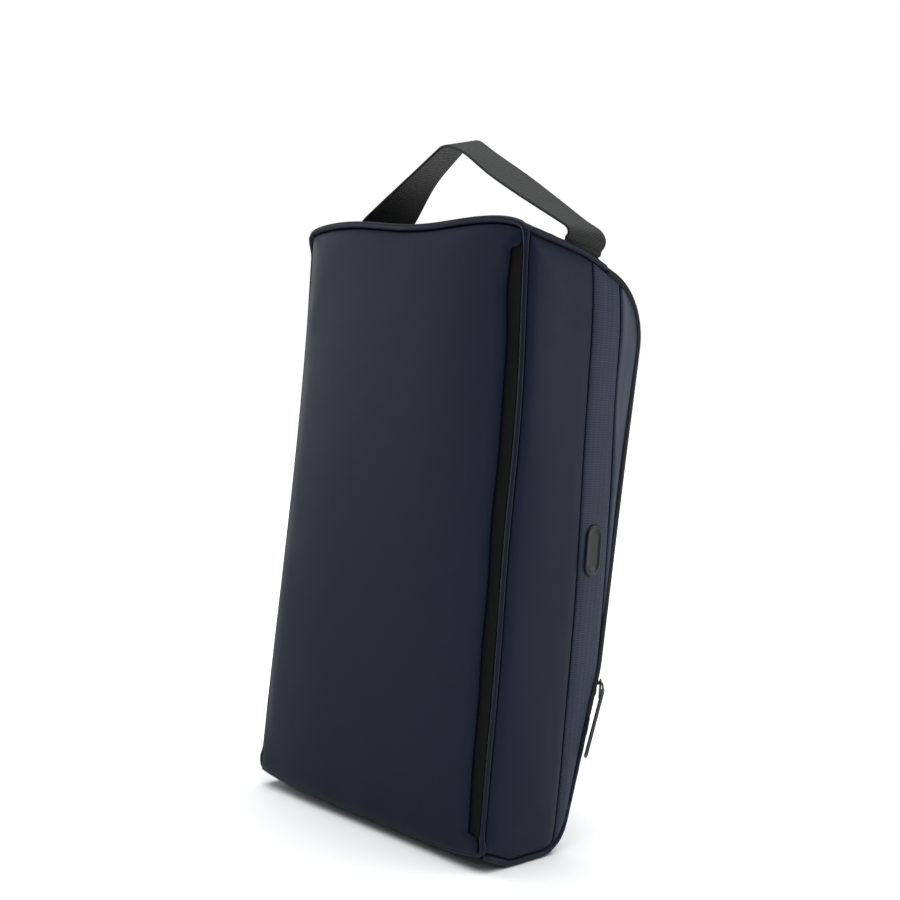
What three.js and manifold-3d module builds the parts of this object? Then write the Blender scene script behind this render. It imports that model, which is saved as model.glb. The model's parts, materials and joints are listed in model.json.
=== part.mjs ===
// Golf shoe bag: an upright zipped case with a flat base panel, two D-shaped side panels, a hinged
// front flap closed by a U-shaped zip, a flat slip pocket on the base and a webbing handle on top.
//
// Millimetres, +Z up. The bag stands on its lower end. The base panel faces -Y, the flap faces +Y,
// and the origin is on the floor below the middle of the bag.

import * as THREE from 'three';
import { mergeVertices } from 'three/addons/utils/BufferGeometryUtils.js';
import Module from 'manifold-3d';

const wasm = await Module();
wasm.setup();

// Driving dimensions

const BAG_WIDTH = 190;
const BAG_DEPTH = 106;
const BASE_BOTTOM = 10;
const BASE_TOP = 352;
const GAP = 0.3;

const SKIN = 1.6;
const LINING = 0.8;
const PIPING = 4;
const CORD_CORRIDOR = PIPING + 2 * GAP;

const POCKET_PANEL = 2.2;
const FOAM = 1.4;
const BOARD = 1.5;
const POCKET_MOUTH = 8;

const RIPSTOP_START = 60;
const RIPSTOP_END = 84.5;
const BADGE = { length: 30, width: 14, thickness: 1.2, rim: 1.6, height: 176 };

const FLAP_BOTTOM = 100;
const ZIP_END = 78;
const ZIP_CROSSING = 76.4;
const TOP_PANEL_FRONT = 72.2;
const TAPE = { thickness: 0.8, width: 3.8 };
const COIL = { width: 1.2, thickness: 1.2, outset: 0.3 };
const STOP = { width: 2.2, thickness: 1.6, height: 3.5 };

const SLIDER = { width: 6, length: 12, thickness: 3, height: 93, lift: 1.8 };
const PULL = { width: 6, length: 36, thickness: 1.2 };

const STRAP = { width: 31, thickness: 2, depth: 50.5 };
const STRAP_SPLIT = 62;

const BINDING = { width: 5, thickness: 0.8, inset: 8.4 };

// The side outline's corners: depth in front of the base, height, and rounding radius.
const OUTLINE = [
  { depth: 0, height: BASE_BOTTOM, round: 3 },
  { depth: 24, height: 0, round: 15 },
  { depth: 68.5, height: 0, round: 22 },
  { depth: 93.5, height: 105, round: 60 },
  { depth: 107.6, height: 323, round: 42 },
  { depth: 54, height: 344, round: 90 },
  { depth: 0, height: BASE_TOP, round: 3 },
];
const ARC_STEP = Math.PI / 20;

const HALF_WIDTH = BAG_WIDTH / 2;
const PANEL_HALF = HALF_WIDTH - PIPING - GAP;
const SIDE_OUTER = HALF_WIDTH - 0.8;
const SIDE_INNER = SIDE_OUTER - SKIN;
const FAR = 1000;

const depthToY = (depth) => depth - BAG_DEPTH / 2;

// Solids

/** A THREE geometry as a manifold solid, with its shared vertices merged. */
function toSolid(geometry) {
  const plain = geometry.clone();
  plain.deleteAttribute('normal');
  plain.deleteAttribute('uv');
  const merged = mergeVertices(plain, 1e-4);
  const mesh = new wasm.Mesh({
    numProp: 3,
    vertProperties: new Float32Array(merged.attributes.position.array),
    triVerts: new Uint32Array(merged.index.array),
  });
  return new wasm.Manifold(mesh);
}

/** A manifold solid as a THREE geometry. */
function toGeometry(solid) {
  const { vertProperties, triVerts } = solid.getMesh();
  const geometry = new THREE.BufferGeometry();
  geometry.setAttribute('position', new THREE.BufferAttribute(vertProperties, 3));
  geometry.setIndex(new THREE.BufferAttribute(triVerts, 1));
  geometry.computeVertexNormals();
  return geometry;
}

/** A shape drawn in (Y, Z), extruded along X from x0 to x1. */
function alongX(shape, x0, x1) {
  const geometry = new THREE.ExtrudeGeometry(shape, { depth: x1 - x0, bevelEnabled: false });
  // The shape's (x, y, extrusion) axes become the bag's (Y, Z, X).
  geometry.applyMatrix4(new THREE.Matrix4().makeBasis(
    new THREE.Vector3(0, 1, 0),
    new THREE.Vector3(0, 0, 1),
    new THREE.Vector3(1, 0, 0),
  ));
  geometry.translate(x0, 0, 0);
  return toSolid(geometry);
}

/** A shape drawn in (X, Z), extruded along Y from y0 to y1. */
function alongY(shape, y0, y1) {
  const geometry = new THREE.ExtrudeGeometry(shape, { depth: y1 - y0, bevelEnabled: false });
  geometry.rotateX(Math.PI / 2);
  geometry.translate(0, y1, 0);
  return toSolid(geometry);
}

/** A box between two corners. */
function boxSolid(low, high) {
  const size = new THREE.Vector3().subVectors(high, low);
  const middle = new THREE.Vector3().addVectors(low, high).multiplyScalar(0.5);
  const geometry = new THREE.BoxGeometry(size.x, size.y, size.z);
  geometry.translate(middle.x, middle.y, middle.z);
  return toSolid(geometry);
}

/** A flat layer of the base, lying between two depths. */
function baseLayer(depth0, depth1, x0, x1, margin) {
  return boxSolid(
    new THREE.Vector3(x0, depthToY(depth0), BASE_BOTTOM + margin),
    new THREE.Vector3(x1, depthToY(depth1), BASE_TOP - margin),
  );
}

// The side outline

/** The outline's corners moved inwards by an inset, each with its smaller rounding. */
function insetCorners(inset) {
  const corners = OUTLINE.map((c) => new THREE.Vector2(depthToY(c.depth), c.height));
  const count = corners.length;
  const normals = corners.map((corner, i) => {
    const edge = new THREE.Vector2().subVectors(corners[(i + 1) % count], corner).normalize();
    return new THREE.Vector2(-edge.y, edge.x);
  });
  return corners.map((corner, i) => {
    const before = normals[(i + count - 1) % count];
    const after = normals[i];
    const miter = new THREE.Vector2().addVectors(before, after);
    miter.multiplyScalar(inset / (1 + before.dot(after)));
    return { point: corner.clone().add(miter), round: Math.max(OUTLINE[i].round - inset, 0.4) };
  });
}

/** The points of the rounded outline at an inset, counter-clockwise in (Y, Z). */
function outlinePoints(inset) {
  const corners = insetCorners(inset);
  const count = corners.length;
  const points = [];
  corners.forEach(({ point, round }, i) => {
    const back = corners[(i + count - 1) % count].point.clone().sub(point).normalize();
    const ahead = corners[(i + 1) % count].point.clone().sub(point).normalize();
    const turn = Math.PI - Math.acos(THREE.MathUtils.clamp(back.dot(ahead), -1, 1));
    const reach = round * Math.tan(turn / 2);
    const start = point.clone().addScaledVector(back, reach);
    const inward = new THREE.Vector2(back.y, -back.x);
    const centre = start.clone().addScaledVector(inward, round);
    const from = Math.atan2(start.y - centre.y, start.x - centre.x);
    const steps = Math.max(1, Math.ceil(turn / ARC_STEP));
    for (let step = 0; step <= steps; step += 1) {
      const angle = from + (turn * step) / steps;
      points.push(new THREE.Vector2(
        centre.x + round * Math.cos(angle),
        centre.y + round * Math.sin(angle),
      ));
    }
  });
  return points;
}

/** A plate of the side outline at an inset, between two x values. */
function outlinePlate(inset, x0, x1) {
  return alongX(new THREE.Shape(outlinePoints(inset)), x0, x1);
}

/** The wall between two insets of the side outline, between two x values. */
function outlineWall(outerInset, innerInset, x0, x1) {
  const shape = new THREE.Shape(outlinePoints(outerInset));
  shape.holes.push(new THREE.Path(outlinePoints(innerInset)));
  return alongX(shape, x0, x1);
}

/** Everything between two depths and two heights. */
function region(depth0, depth1, height0, height1) {
  return boxSolid(
    new THREE.Vector3(-FAR, depthToY(depth0), height0),
    new THREE.Vector3(FAR, depthToY(depth1), height1),
  );
}

const MIDDLE_HEIGHT = (BASE_BOTTOM + BASE_TOP) / 2;
const topEnd = (depth0, depth1) => region(depth0, depth1, MIDDLE_HEIGHT, FAR);

/** The stretch covered by the bottom end and the fixed lower part of the front. */
function lowerWrapRegion(depth0, top) {
  return region(depth0, FAR, -FAR, top);
}

/** The stretch covered by the flap, from its hinge line up and over to a depth on the top end. */
function flapRegion(crossing, bottom) {
  return region(crossing, FAR, bottom, FAR);
}

/** The same solid on the other side of the bag. */
function mirrored(solid) {
  return solid.mirror([1, 0, 0]);
}

// Finishes

const finish = (color, roughness, metalness = 0) => (
  () => new THREE.MeshStandardMaterial({ color, roughness, metalness })
);
const coatedNavy = finish(0x2a3142, 0.55);
const ripstopNavy = finish(0x363c4b, 0.6);
const pipingNavy = finish(0x2c3446, 0.5);
const liningBlack = finish(0x15161a, 0.8);
const foamGrey = finish(0x55585c, 0.9);
const boardBlack = finish(0x1b1b1d, 0.6);
const tapeBlack = finish(0x2c2d31, 0.75);
const coilBlack = finish(0x1c1d20, 0.45);
const webbingBlack = finish(0x242526, 0.8);
const rubberBlack = finish(0x131417, 0.45);
const sliderMetal = finish(0x1d1e20, 0.35, 0.8);

const bag = new THREE.Group();

/** Adds one named sub-part to the bag. */
function add(name, solid, material) {
  const mesh = new THREE.Mesh(toGeometry(solid), material());
  mesh.name = name;
  bag.add(mesh);
}

/** Adds a sub-part on the right and its mirror image on the left. */
function addPair(name, solid, material) {
  add(`${name}_right`, solid, material);
  add(`${name}_left`, mirrored(solid), material);
}

// Base: a slip pocket with its mouth along the right edge, then foam, a stiff board and the lining

/** The base's layers, each behind the one before. */
function addBase() {
  const foamFront = POCKET_PANEL + GAP + LINING + GAP;
  const boardFront = foamFront + FOAM + GAP;
  const liningFront = boardFront + BOARD + GAP;
  const lip = PANEL_HALF - POCKET_MOUTH;
  add('pocket_panel', baseLayer(0, POCKET_PANEL, -PANEL_HALF, lip, CORD_CORRIDOR), coatedNavy);
  add('pocket_backing', baseLayer(POCKET_PANEL + GAP, foamFront - GAP, -PANEL_HALF, PANEL_HALF,
    CORD_CORRIDOR), liningBlack);
  add('base_foam', baseLayer(foamFront, boardFront - GAP, -PANEL_HALF, PANEL_HALF,
    CORD_CORRIDOR + SKIN), foamGrey);
  add('base_board', baseLayer(boardFront, liningFront - GAP, -PANEL_HALF, PANEL_HALF,
    CORD_CORRIDOR + SKIN), boardBlack);
  add('base_lining', baseLayer(liningFront, liningFront + LINING, -PANEL_HALF, PANEL_HALF,
    CORD_CORRIDOR + SKIN), liningBlack);
}

/** The piping sewn round the base panel, joined at the middle of its lower edge. */
function basePiping() {
  const corner = PIPING + GAP;
  const loop = (inset) => {
    const half = HALF_WIDTH - inset;
    const low = BASE_BOTTOM + inset;
    const high = BASE_TOP - inset;
    const round = corner - inset;
    const outline = new THREE.Shape();
    outline.moveTo(-half + round, low);
    outline.lineTo(half - round, low);
    outline.absarc(half - round, low + round, round, -Math.PI / 2, 0);
    outline.absarc(half - round, high - round, round, 0, Math.PI / 2);
    outline.absarc(-half + round, high - round, round, Math.PI / 2, Math.PI);
    outline.absarc(-half + round, low + round, round, Math.PI, 1.5 * Math.PI);
    return new THREE.Shape(outline.getPoints(4));
  };
  const ring = loop(0);
  ring.holes.push(loop(PIPING));
  return alongY(ring, depthToY(0), depthToY(PIPING));
}

// Side panels: three strips and a lining

/** One strip of the right side panel between two depths. */
function sideStrip(depth0, depth1) {
  return outlinePlate(CORD_CORRIDOR, SIDE_INNER, SIDE_OUTER)
    .intersect(region(depth0, depth1, -FAR, FAR));
}

/** The side panels with their linings and inner seam bindings. */
function addSides() {
  const half = GAP / 2;
  addPair('side_rear', sideStrip(-FAR, RIPSTOP_START - half), coatedNavy);
  addPair('side_ripstop', sideStrip(RIPSTOP_START + half, RIPSTOP_END - half), ripstopNavy);
  addPair('side_front', sideStrip(RIPSTOP_END + half, FAR), coatedNavy);
  const liningOuter = SIDE_INNER - GAP;
  const liningInner = liningOuter - LINING;
  addPair('side_lining', outlinePlate(CORD_CORRIDOR + SKIN, liningInner, liningOuter), liningBlack);
  const bindingOuter = liningInner - GAP;
  const binding = outlineWall(BINDING.inset, BINDING.inset + BINDING.width,
    bindingOuter - BINDING.thickness, bindingOuter);
  addPair('seam_binding', binding, tapeBlack);
}

/** A plain oval rubber badge with a raised rim, on the right ripstop strip. */
function badge() {
  const oval = (inset) => {
    const shape = new THREE.Shape();
    const round = BADGE.width / 2 - inset;
    const reach = (BADGE.length - BADGE.width) / 2;
    shape.absarc(0, -reach, round, Math.PI, 2 * Math.PI);
    shape.absarc(0, reach, round, 0, Math.PI);
    return new THREE.Shape(shape.getPoints(6));
  };
  const foot = SIDE_OUTER + GAP;
  const plate = alongX(oval(0), foot, foot + BADGE.thickness);
  const recess = alongX(oval(BADGE.rim), foot + BADGE.thickness / 2, foot + 2 * BADGE.thickness);
  const middle = depthToY((RIPSTOP_START + RIPSTOP_END) / 2);
  return plate.subtract(recess).translate([0, middle, BADGE.height]);
}

// Piping on the side panels' curved edges: one run over the top, one under the bottom

/** The side piping above and below the zip. */
function addSidePiping() {
  const run = outlineWall(GAP, GAP + PIPING, HALF_WIDTH - PIPING, HALF_WIDTH);
  addPair('side_piping_top', run.intersect(topEnd(CORD_CORRIDOR, TOP_PANEL_FRONT)), pipingNavy);
  addPair('side_piping_bottom', run.intersect(lowerWrapRegion(CORD_CORRIDOR, ZIP_END - GAP)),
    pipingNavy);
}

// End panels and flap

/** The top end, and the strip that makes the bottom end and the lower front. */
function addEnds() {
  const outer = outlineWall(0, SKIN, -PANEL_HALF, PANEL_HALF);
  const inner = outlineWall(SKIN + GAP, SKIN + GAP + LINING, -PANEL_HALF, PANEL_HALF);
  const baseStack = POCKET_PANEL + FOAM + BOARD + 2 * LINING + 5 * GAP;
  const flapGap = FLAP_BOTTOM - GAP;
  add('top_end_panel', outer.intersect(topEnd(CORD_CORRIDOR, TOP_PANEL_FRONT)), coatedNavy);
  add('top_end_lining', inner.intersect(topEnd(baseStack, TOP_PANEL_FRONT)), liningBlack);
  add('lower_wrap_panel', outer.intersect(lowerWrapRegion(CORD_CORRIDOR, flapGap)), coatedNavy);
  add('lower_wrap_lining', inner.intersect(lowerWrapRegion(baseStack, flapGap)), liningBlack);
}

/** The half width of the flap's panel, inside its zip tape. */
const FLAP_HALF = PANEL_HALF - GAP - TAPE.width;
const FLAP_TOP = ZIP_CROSSING + 2 * COIL.width + TAPE.width + 4 * GAP;

/** The flap: outer panel and lining. */
function addFlap() {
  const outer = outlineWall(0, SKIN, -FLAP_HALF, FLAP_HALF);
  const inner = outlineWall(SKIN + GAP, SKIN + GAP + LINING, -FLAP_HALF, FLAP_HALF);
  add('flap_panel', outer.intersect(flapRegion(FLAP_TOP, FLAP_BOTTOM + GAP)), coatedNavy);
  add('flap_lining', inner.intersect(flapRegion(FLAP_TOP, FLAP_BOTTOM + GAP)), liningBlack);
}

// The U-shaped zip: up the right edge, across the top end and down the left edge

/**
 * A U-shaped strip on the outline: two uprights on the front edges, each between two |x| values,
 * and a crossing on the top end, between two depths.
 */
function zipRun({ outer, inner, x0, x1, crossing0, crossing1, bottom }) {
  const middle = boxSolid(
    new THREE.Vector3(-x0, depthToY(crossing1), -FAR),
    new THREE.Vector3(x0, FAR, FAR),
  );
  return outlineWall(outer, inner, -x1, x1)
    .intersect(flapRegion(crossing0, bottom))
    .subtract(middle);
}

/** The zip's two tapes, two coils and end stops. */
function addZip() {
  const tapeOuter = COIL.outset + (COIL.thickness - TAPE.thickness) / 2;
  const shellCoilX = PANEL_HALF + GAP + COIL.width;
  const flapCoilX = shellCoilX - COIL.width - GAP;
  const shellCoilFront = ZIP_CROSSING + COIL.width;
  const flapCoilBack = shellCoilFront + GAP;
  const flapCoilFront = flapCoilBack + COIL.width;
  const flangeX = shellCoilX + GAP;
  const crossingBack = ZIP_CROSSING - TAPE.width;
  const flange = outlineWall(tapeOuter, tapeOuter + TAPE.width, flangeX, flangeX + TAPE.thickness)
    .intersect(flapRegion(crossingBack, ZIP_END));
  const shellTape = zipRun({
    outer: tapeOuter,
    inner: tapeOuter + TAPE.thickness,
    x0: flangeX,
    x1: flangeX + TAPE.thickness,
    crossing0: crossingBack,
    crossing1: ZIP_CROSSING - GAP,
    bottom: ZIP_END,
  });
  add('zip_tape_shell', shellTape.add(flange).add(mirrored(flange)), tapeBlack);
  add('zip_coil_shell', zipRun({
    outer: COIL.outset,
    inner: COIL.outset + COIL.thickness,
    x0: shellCoilX - COIL.width,
    x1: shellCoilX,
    crossing0: ZIP_CROSSING,
    crossing1: shellCoilFront,
    bottom: ZIP_END + STOP.height + GAP,
  }), coilBlack);
  add('zip_coil_flap', zipRun({
    outer: COIL.outset,
    inner: COIL.outset + COIL.thickness,
    x0: flapCoilX - COIL.width,
    x1: flapCoilX,
    crossing0: flapCoilBack,
    crossing1: flapCoilFront,
    bottom: FLAP_BOTTOM + GAP,
  }), coilBlack);
  add('zip_tape_flap', zipRun({
    outer: tapeOuter,
    inner: tapeOuter + TAPE.thickness,
    x0: FLAP_HALF + GAP,
    x1: flapCoilX - COIL.width - GAP,
    crossing0: flapCoilFront + GAP,
    crossing1: FLAP_TOP - GAP,
    bottom: FLAP_BOTTOM + GAP,
  }), tapeBlack);
  const stop = outlineWall(COIL.outset, COIL.outset + STOP.thickness,
    shellCoilX - COIL.width, shellCoilX)
    .intersect(region(BAG_DEPTH / 2, FAR, ZIP_END, ZIP_END + STOP.height));
  addPair('zip_end_stop', stop, rubberBlack);
}

/** A point of the outline at a height on its front, as (Y, Z). */
function frontAt(height) {
  const points = outlinePoints(0).filter((p) => p.x > 0);
  const above = points.findIndex((p) => p.y > height);
  const low = points[above - 1];
  const high = points[above];
  return low.clone().lerp(high, (height - low.y) / (high.y - low.y));
}

/** The zip's slider on the right front edge, turned to face out diagonally, and its pull. */
function addSlider() {
  const edge = frontAt(SLIDER.height);
  const outward = new THREE.Vector3(1, 1, 0).normalize();
  const corner = new THREE.Vector3(SIDE_OUTER - 1, edge.x, SLIDER.height);
  const middle = corner.clone().addScaledVector(outward, SLIDER.lift + SLIDER.thickness / 2);
  const place = (solid) => solid.rotate([0, 0, -45]).translate(middle.toArray());
  const body = new THREE.BoxGeometry(SLIDER.width, SLIDER.thickness, SLIDER.length);
  add('zip_slider', place(toSolid(body)), sliderMetal);

  // The pull hangs from its top edge, just outside the slider's face, and turns about that edge.
  const tab = new THREE.BoxGeometry(PULL.width, PULL.thickness, PULL.length);
  tab.translate(0, SLIDER.thickness / 2 + GAP + PULL.thickness / 2, -PULL.length / 2);
  add('zip_pull', place(toSolid(tab)), sliderMetal);
}

// Handle: one strap of webbing across the top, its ends caught in the side seams

/** The strap's middle line from the right seam to the left one, as points in (X, Z). */
function strapLine() {
  return new THREE.SplineCurve([
    new THREE.Vector2(93, 330),
    new THREE.Vector2(95.5, 351),
    new THREE.Vector2(86, 361),
    new THREE.Vector2(50, 383),
    new THREE.Vector2(17, 405.5),
    new THREE.Vector2(0, 408.5),
    new THREE.Vector2(-17, 405.5),
    new THREE.Vector2(-50, 383),
    new THREE.Vector2(-86, 361),
    new THREE.Vector2(-95.5, 351),
    new THREE.Vector2(-93, 330),
  ]);
}

/** The strap, cut clear of the bag's top, with its two fixed ends and its moving middle. */
function addHandle() {
  const line = strapLine();
  const samples = 60;
  const outerSide = [];
  const innerSide = [];
  for (let i = 0; i <= samples; i += 1) {
    const point = line.getPointAt(i / samples);
    const tangent = line.getTangentAt(i / samples);
    const normal = new THREE.Vector2(tangent.y, -tangent.x).multiplyScalar(STRAP.thickness / 2);
    outerSide.push(point.clone().add(normal));
    innerSide.unshift(point.clone().sub(normal));
  }
  const middle = depthToY(STRAP.depth);
  const strap = alongY(new THREE.Shape([...outerSide, ...innerSide]),
    middle - STRAP.width / 2, middle + STRAP.width / 2)
    .subtract(outlinePlate(-GAP, -HALF_WIDTH - PIPING, HALF_WIDTH + PIPING));
  const slab = (x0, x1) => boxSolid(new THREE.Vector3(x0, -FAR, 0), new THREE.Vector3(x1, FAR, FAR));
  add('handle_strap', strap.intersect(slab(GAP / 2 - STRAP_SPLIT, STRAP_SPLIT - GAP / 2)),
    webbingBlack);
  addPair('handle_end', strap.intersect(slab(STRAP_SPLIT + GAP / 2, FAR)), webbingBlack);
}

addBase();
add('base_piping', basePiping(), pipingNavy);
addSides();
add('badge', badge(), rubberBlack);
addSidePiping();
addEnds();
addFlap();
addZip();
addSlider();
addHandle();

export default bag;
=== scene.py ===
"""Golf shoe bag: the sewn and dressed model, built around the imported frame.

Shapes are worked out in millimetres in the frame's axes: +X is the bag's right, -Y the base panel's
side, +Y the flap's side and +Z up. Every mesh is turned to metres once, where it is made.
"""

import json
import logging
import math
from dataclasses import dataclass
from enum import Enum
from typing import Iterable, Optional, Sequence, Union

import bpy
import numpy as np
from mathutils import Matrix, Vector


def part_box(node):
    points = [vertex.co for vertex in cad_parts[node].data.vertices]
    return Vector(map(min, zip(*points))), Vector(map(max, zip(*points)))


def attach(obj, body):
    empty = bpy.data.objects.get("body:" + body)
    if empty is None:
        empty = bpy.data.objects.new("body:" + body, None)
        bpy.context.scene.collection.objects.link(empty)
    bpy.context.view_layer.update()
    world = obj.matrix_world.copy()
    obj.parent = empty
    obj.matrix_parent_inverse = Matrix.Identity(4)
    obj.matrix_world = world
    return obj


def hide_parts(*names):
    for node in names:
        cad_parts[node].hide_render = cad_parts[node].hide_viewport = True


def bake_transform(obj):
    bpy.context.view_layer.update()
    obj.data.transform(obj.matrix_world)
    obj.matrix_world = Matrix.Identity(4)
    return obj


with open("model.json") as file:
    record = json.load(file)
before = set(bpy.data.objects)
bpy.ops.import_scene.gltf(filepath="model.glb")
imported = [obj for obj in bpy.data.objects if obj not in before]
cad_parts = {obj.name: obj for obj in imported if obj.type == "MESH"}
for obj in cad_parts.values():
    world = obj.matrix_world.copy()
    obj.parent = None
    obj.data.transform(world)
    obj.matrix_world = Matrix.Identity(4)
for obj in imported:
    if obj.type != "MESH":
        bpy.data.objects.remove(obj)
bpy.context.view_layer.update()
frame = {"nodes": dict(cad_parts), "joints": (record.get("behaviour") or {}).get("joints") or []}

logging.basicConfig(level=logging.INFO, format="%(message)s")
log = logging.getLogger("shoe_bag")

MM = 0.001
SPLINE_STEPS = 24
Array = np.ndarray
Body = Union[str, tuple[str, str]]
# The start and end of a rise, or the centre and width of a bump.
Span = tuple[float, float]


# Small helpers

def linear(colour: str) -> tuple[float, float, float, float]:
    """Turns an sRGB hex colour into linear light.

    Args:
        colour: Six hex digits after a hash sign.

    Returns:
        Red, green, blue and an alpha of one.
    """
    channels = [int(colour[i:i + 2], 16) / 255 for i in (1, 3, 5)]
    return (*((c / 12.92 if c <= 0.04045 else ((c + 0.055) / 1.055) ** 2.4) for c in channels), 1.0)


def smooth(value: Array, start: float, end: float) -> Array:
    """Rises smoothly from 0 at start to 1 at end.

    Args:
        value: Where to read the step.
        start: Where it begins to rise.
        end: Where it has risen.

    Returns:
        The height of the step at each value.
    """
    t = np.clip((np.asarray(value, float) - start) / (end - start), 0, 1)
    return t * t * (3 - 2 * t)


def bump(value: Array, centre: float, width: float) -> Array:
    """A soft bell of height 1 round a centre."""
    return np.exp(-(((np.asarray(value, float) - centre) / width) ** 2))


def unit(vectors: Array) -> Array:
    """The same vectors with a length of one."""
    return vectors / np.maximum(np.linalg.norm(vectors, axis=-1, keepdims=True), 1e-9)


def spline(points: Sequence[Sequence[float]], samples: int) -> Array:
    """A smooth open curve through points, evenly spaced along its length.

    Args:
        points: The points that the curve passes, in order.
        samples: How many points to return.

    Returns:
        An array of samples rows.
    """
    p = np.asarray(points, float)
    p = np.vstack([2 * p[0] - p[1], p, 2 * p[-1] - p[-2]])
    fine = []
    for a, b, c, d in zip(p[:-3], p[1:-2], p[2:-1], p[3:]):
        t = np.linspace(0, 1, SPLINE_STEPS, endpoint=False)[:, None]
        fine.append(0.5 * (2 * b + (c - a) * t + (2 * a - 5 * b + 4 * c - d) * t ** 2
                           + (3 * b - a - 3 * c + d) * t ** 3))
    fine.append(p[-2][None])
    return evenly(np.vstack(fine), samples)


def evenly(points: Array, samples: int) -> Array:
    """The same line with its points evenly spaced.

    Args:
        points: The line's points.
        samples: How many points to return.

    Returns:
        An array of samples rows.
    """
    reach = np.concatenate([[0], np.cumsum(np.linalg.norm(np.diff(points, axis=0), axis=1))])
    where = np.linspace(0, reach[-1], samples)
    return np.stack([np.interp(where, reach, points[:, k]) for k in range(points.shape[1])], -1)


def ripple(values: Array, wavelength: float, seed: int, terms: int = 5) -> Array:
    """An uneven wave of about height 1, such as hand-fed cloth shows along a seam.

    Args:
        values: Distances along the seam.
        wavelength: The usual distance from crest to crest.
        seed: Picks one wave, the same at each run.
        terms: How many sine waves it is made from.

    Returns:
        The wave's height at each value.
    """
    draw = np.random.default_rng(seed)
    total = np.zeros_like(np.asarray(values, float))
    for _ in range(terms):
        stretch = draw.uniform(0.65, 1.6)
        total += np.sin(2 * math.pi * values / (wavelength * stretch) + draw.uniform(0, 2 * math.pi))
    return total / math.sqrt(terms)


# Meshes

def signed_volume(points: Array, faces: Sequence[Sequence[int]]) -> float:
    """The volume inside a closed mesh, below zero where its faces point inwards."""
    total = 0.0
    for face in faces:
        a = points[face[0]]
        for i in range(1, len(face) - 1):
            total += float(np.dot(a, np.cross(points[face[i]], points[face[i + 1]])))
    return total / 6


def make_mesh(name: str, points: Array, faces: list[tuple[int, ...]],
              uv: Optional[Array] = None) -> bpy.types.Object:
    """Makes a smooth-shaded piece from points in millimetres, with its faces pointing outwards.

    Args:
        name: The piece's name.
        points: One row for each point.
        faces: The points of each face.
        uv: A place on the cloth for each point, in metres, if the finish follows the cloth.

    Returns:
        The new object, at the origin.
    """
    if signed_volume(points, faces) < 0:
        faces = [tuple(reversed(face)) for face in faces]
    mesh = bpy.data.meshes.new(name)
    mesh.from_pydata((points * MM).tolist(), [], faces)
    mesh.polygons.foreach_set("use_smooth", [True] * len(mesh.polygons))
    if uv is not None:
        layer = mesh.uv_layers.new(name="cloth")
        corner = np.array([loop.vertex_index for loop in mesh.loops])
        layer.data.foreach_set("uv", uv[corner].astype(np.float32).ravel())
    mesh.validate()
    mesh.update()
    piece = bpy.data.objects.new(name, mesh)
    bpy.context.scene.collection.objects.link(piece)
    return piece


def join(name: str, parts: Sequence[bpy.types.Object]) -> bpy.types.Object:
    """Joins several objects into one piece.

    Args:
        name: The joined piece's name.
        parts: The objects, all at the origin.

    Returns:
        The joined piece.
    """
    bpy.ops.object.select_all(action="DESELECT")
    for part in parts:
        part.select_set(True)
    bpy.context.view_layer.objects.active = parts[0]
    bpy.ops.object.join()
    piece = parts[0]
    piece.name = name
    piece.data.name = name
    return piece


def grid_faces(rows: int, columns: int, closed: bool, offset: int = 0) -> list[tuple[int, ...]]:
    """The four-sided faces of a grid of points.

    Args:
        rows: Rows of points.
        columns: Points in a row.
        closed: Whether the last row meets the first.
        offset: The number of the grid's first point.

    Returns:
        The faces, as numbers of points.
    """
    faces = []
    for i in range(rows if closed else rows - 1):
        for j in range(columns - 1):
            a = offset + i * columns + j
            b = offset + ((i + 1) % rows) * columns + j
            faces.append((a, b, b + 1, a + 1))
    return faces


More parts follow.
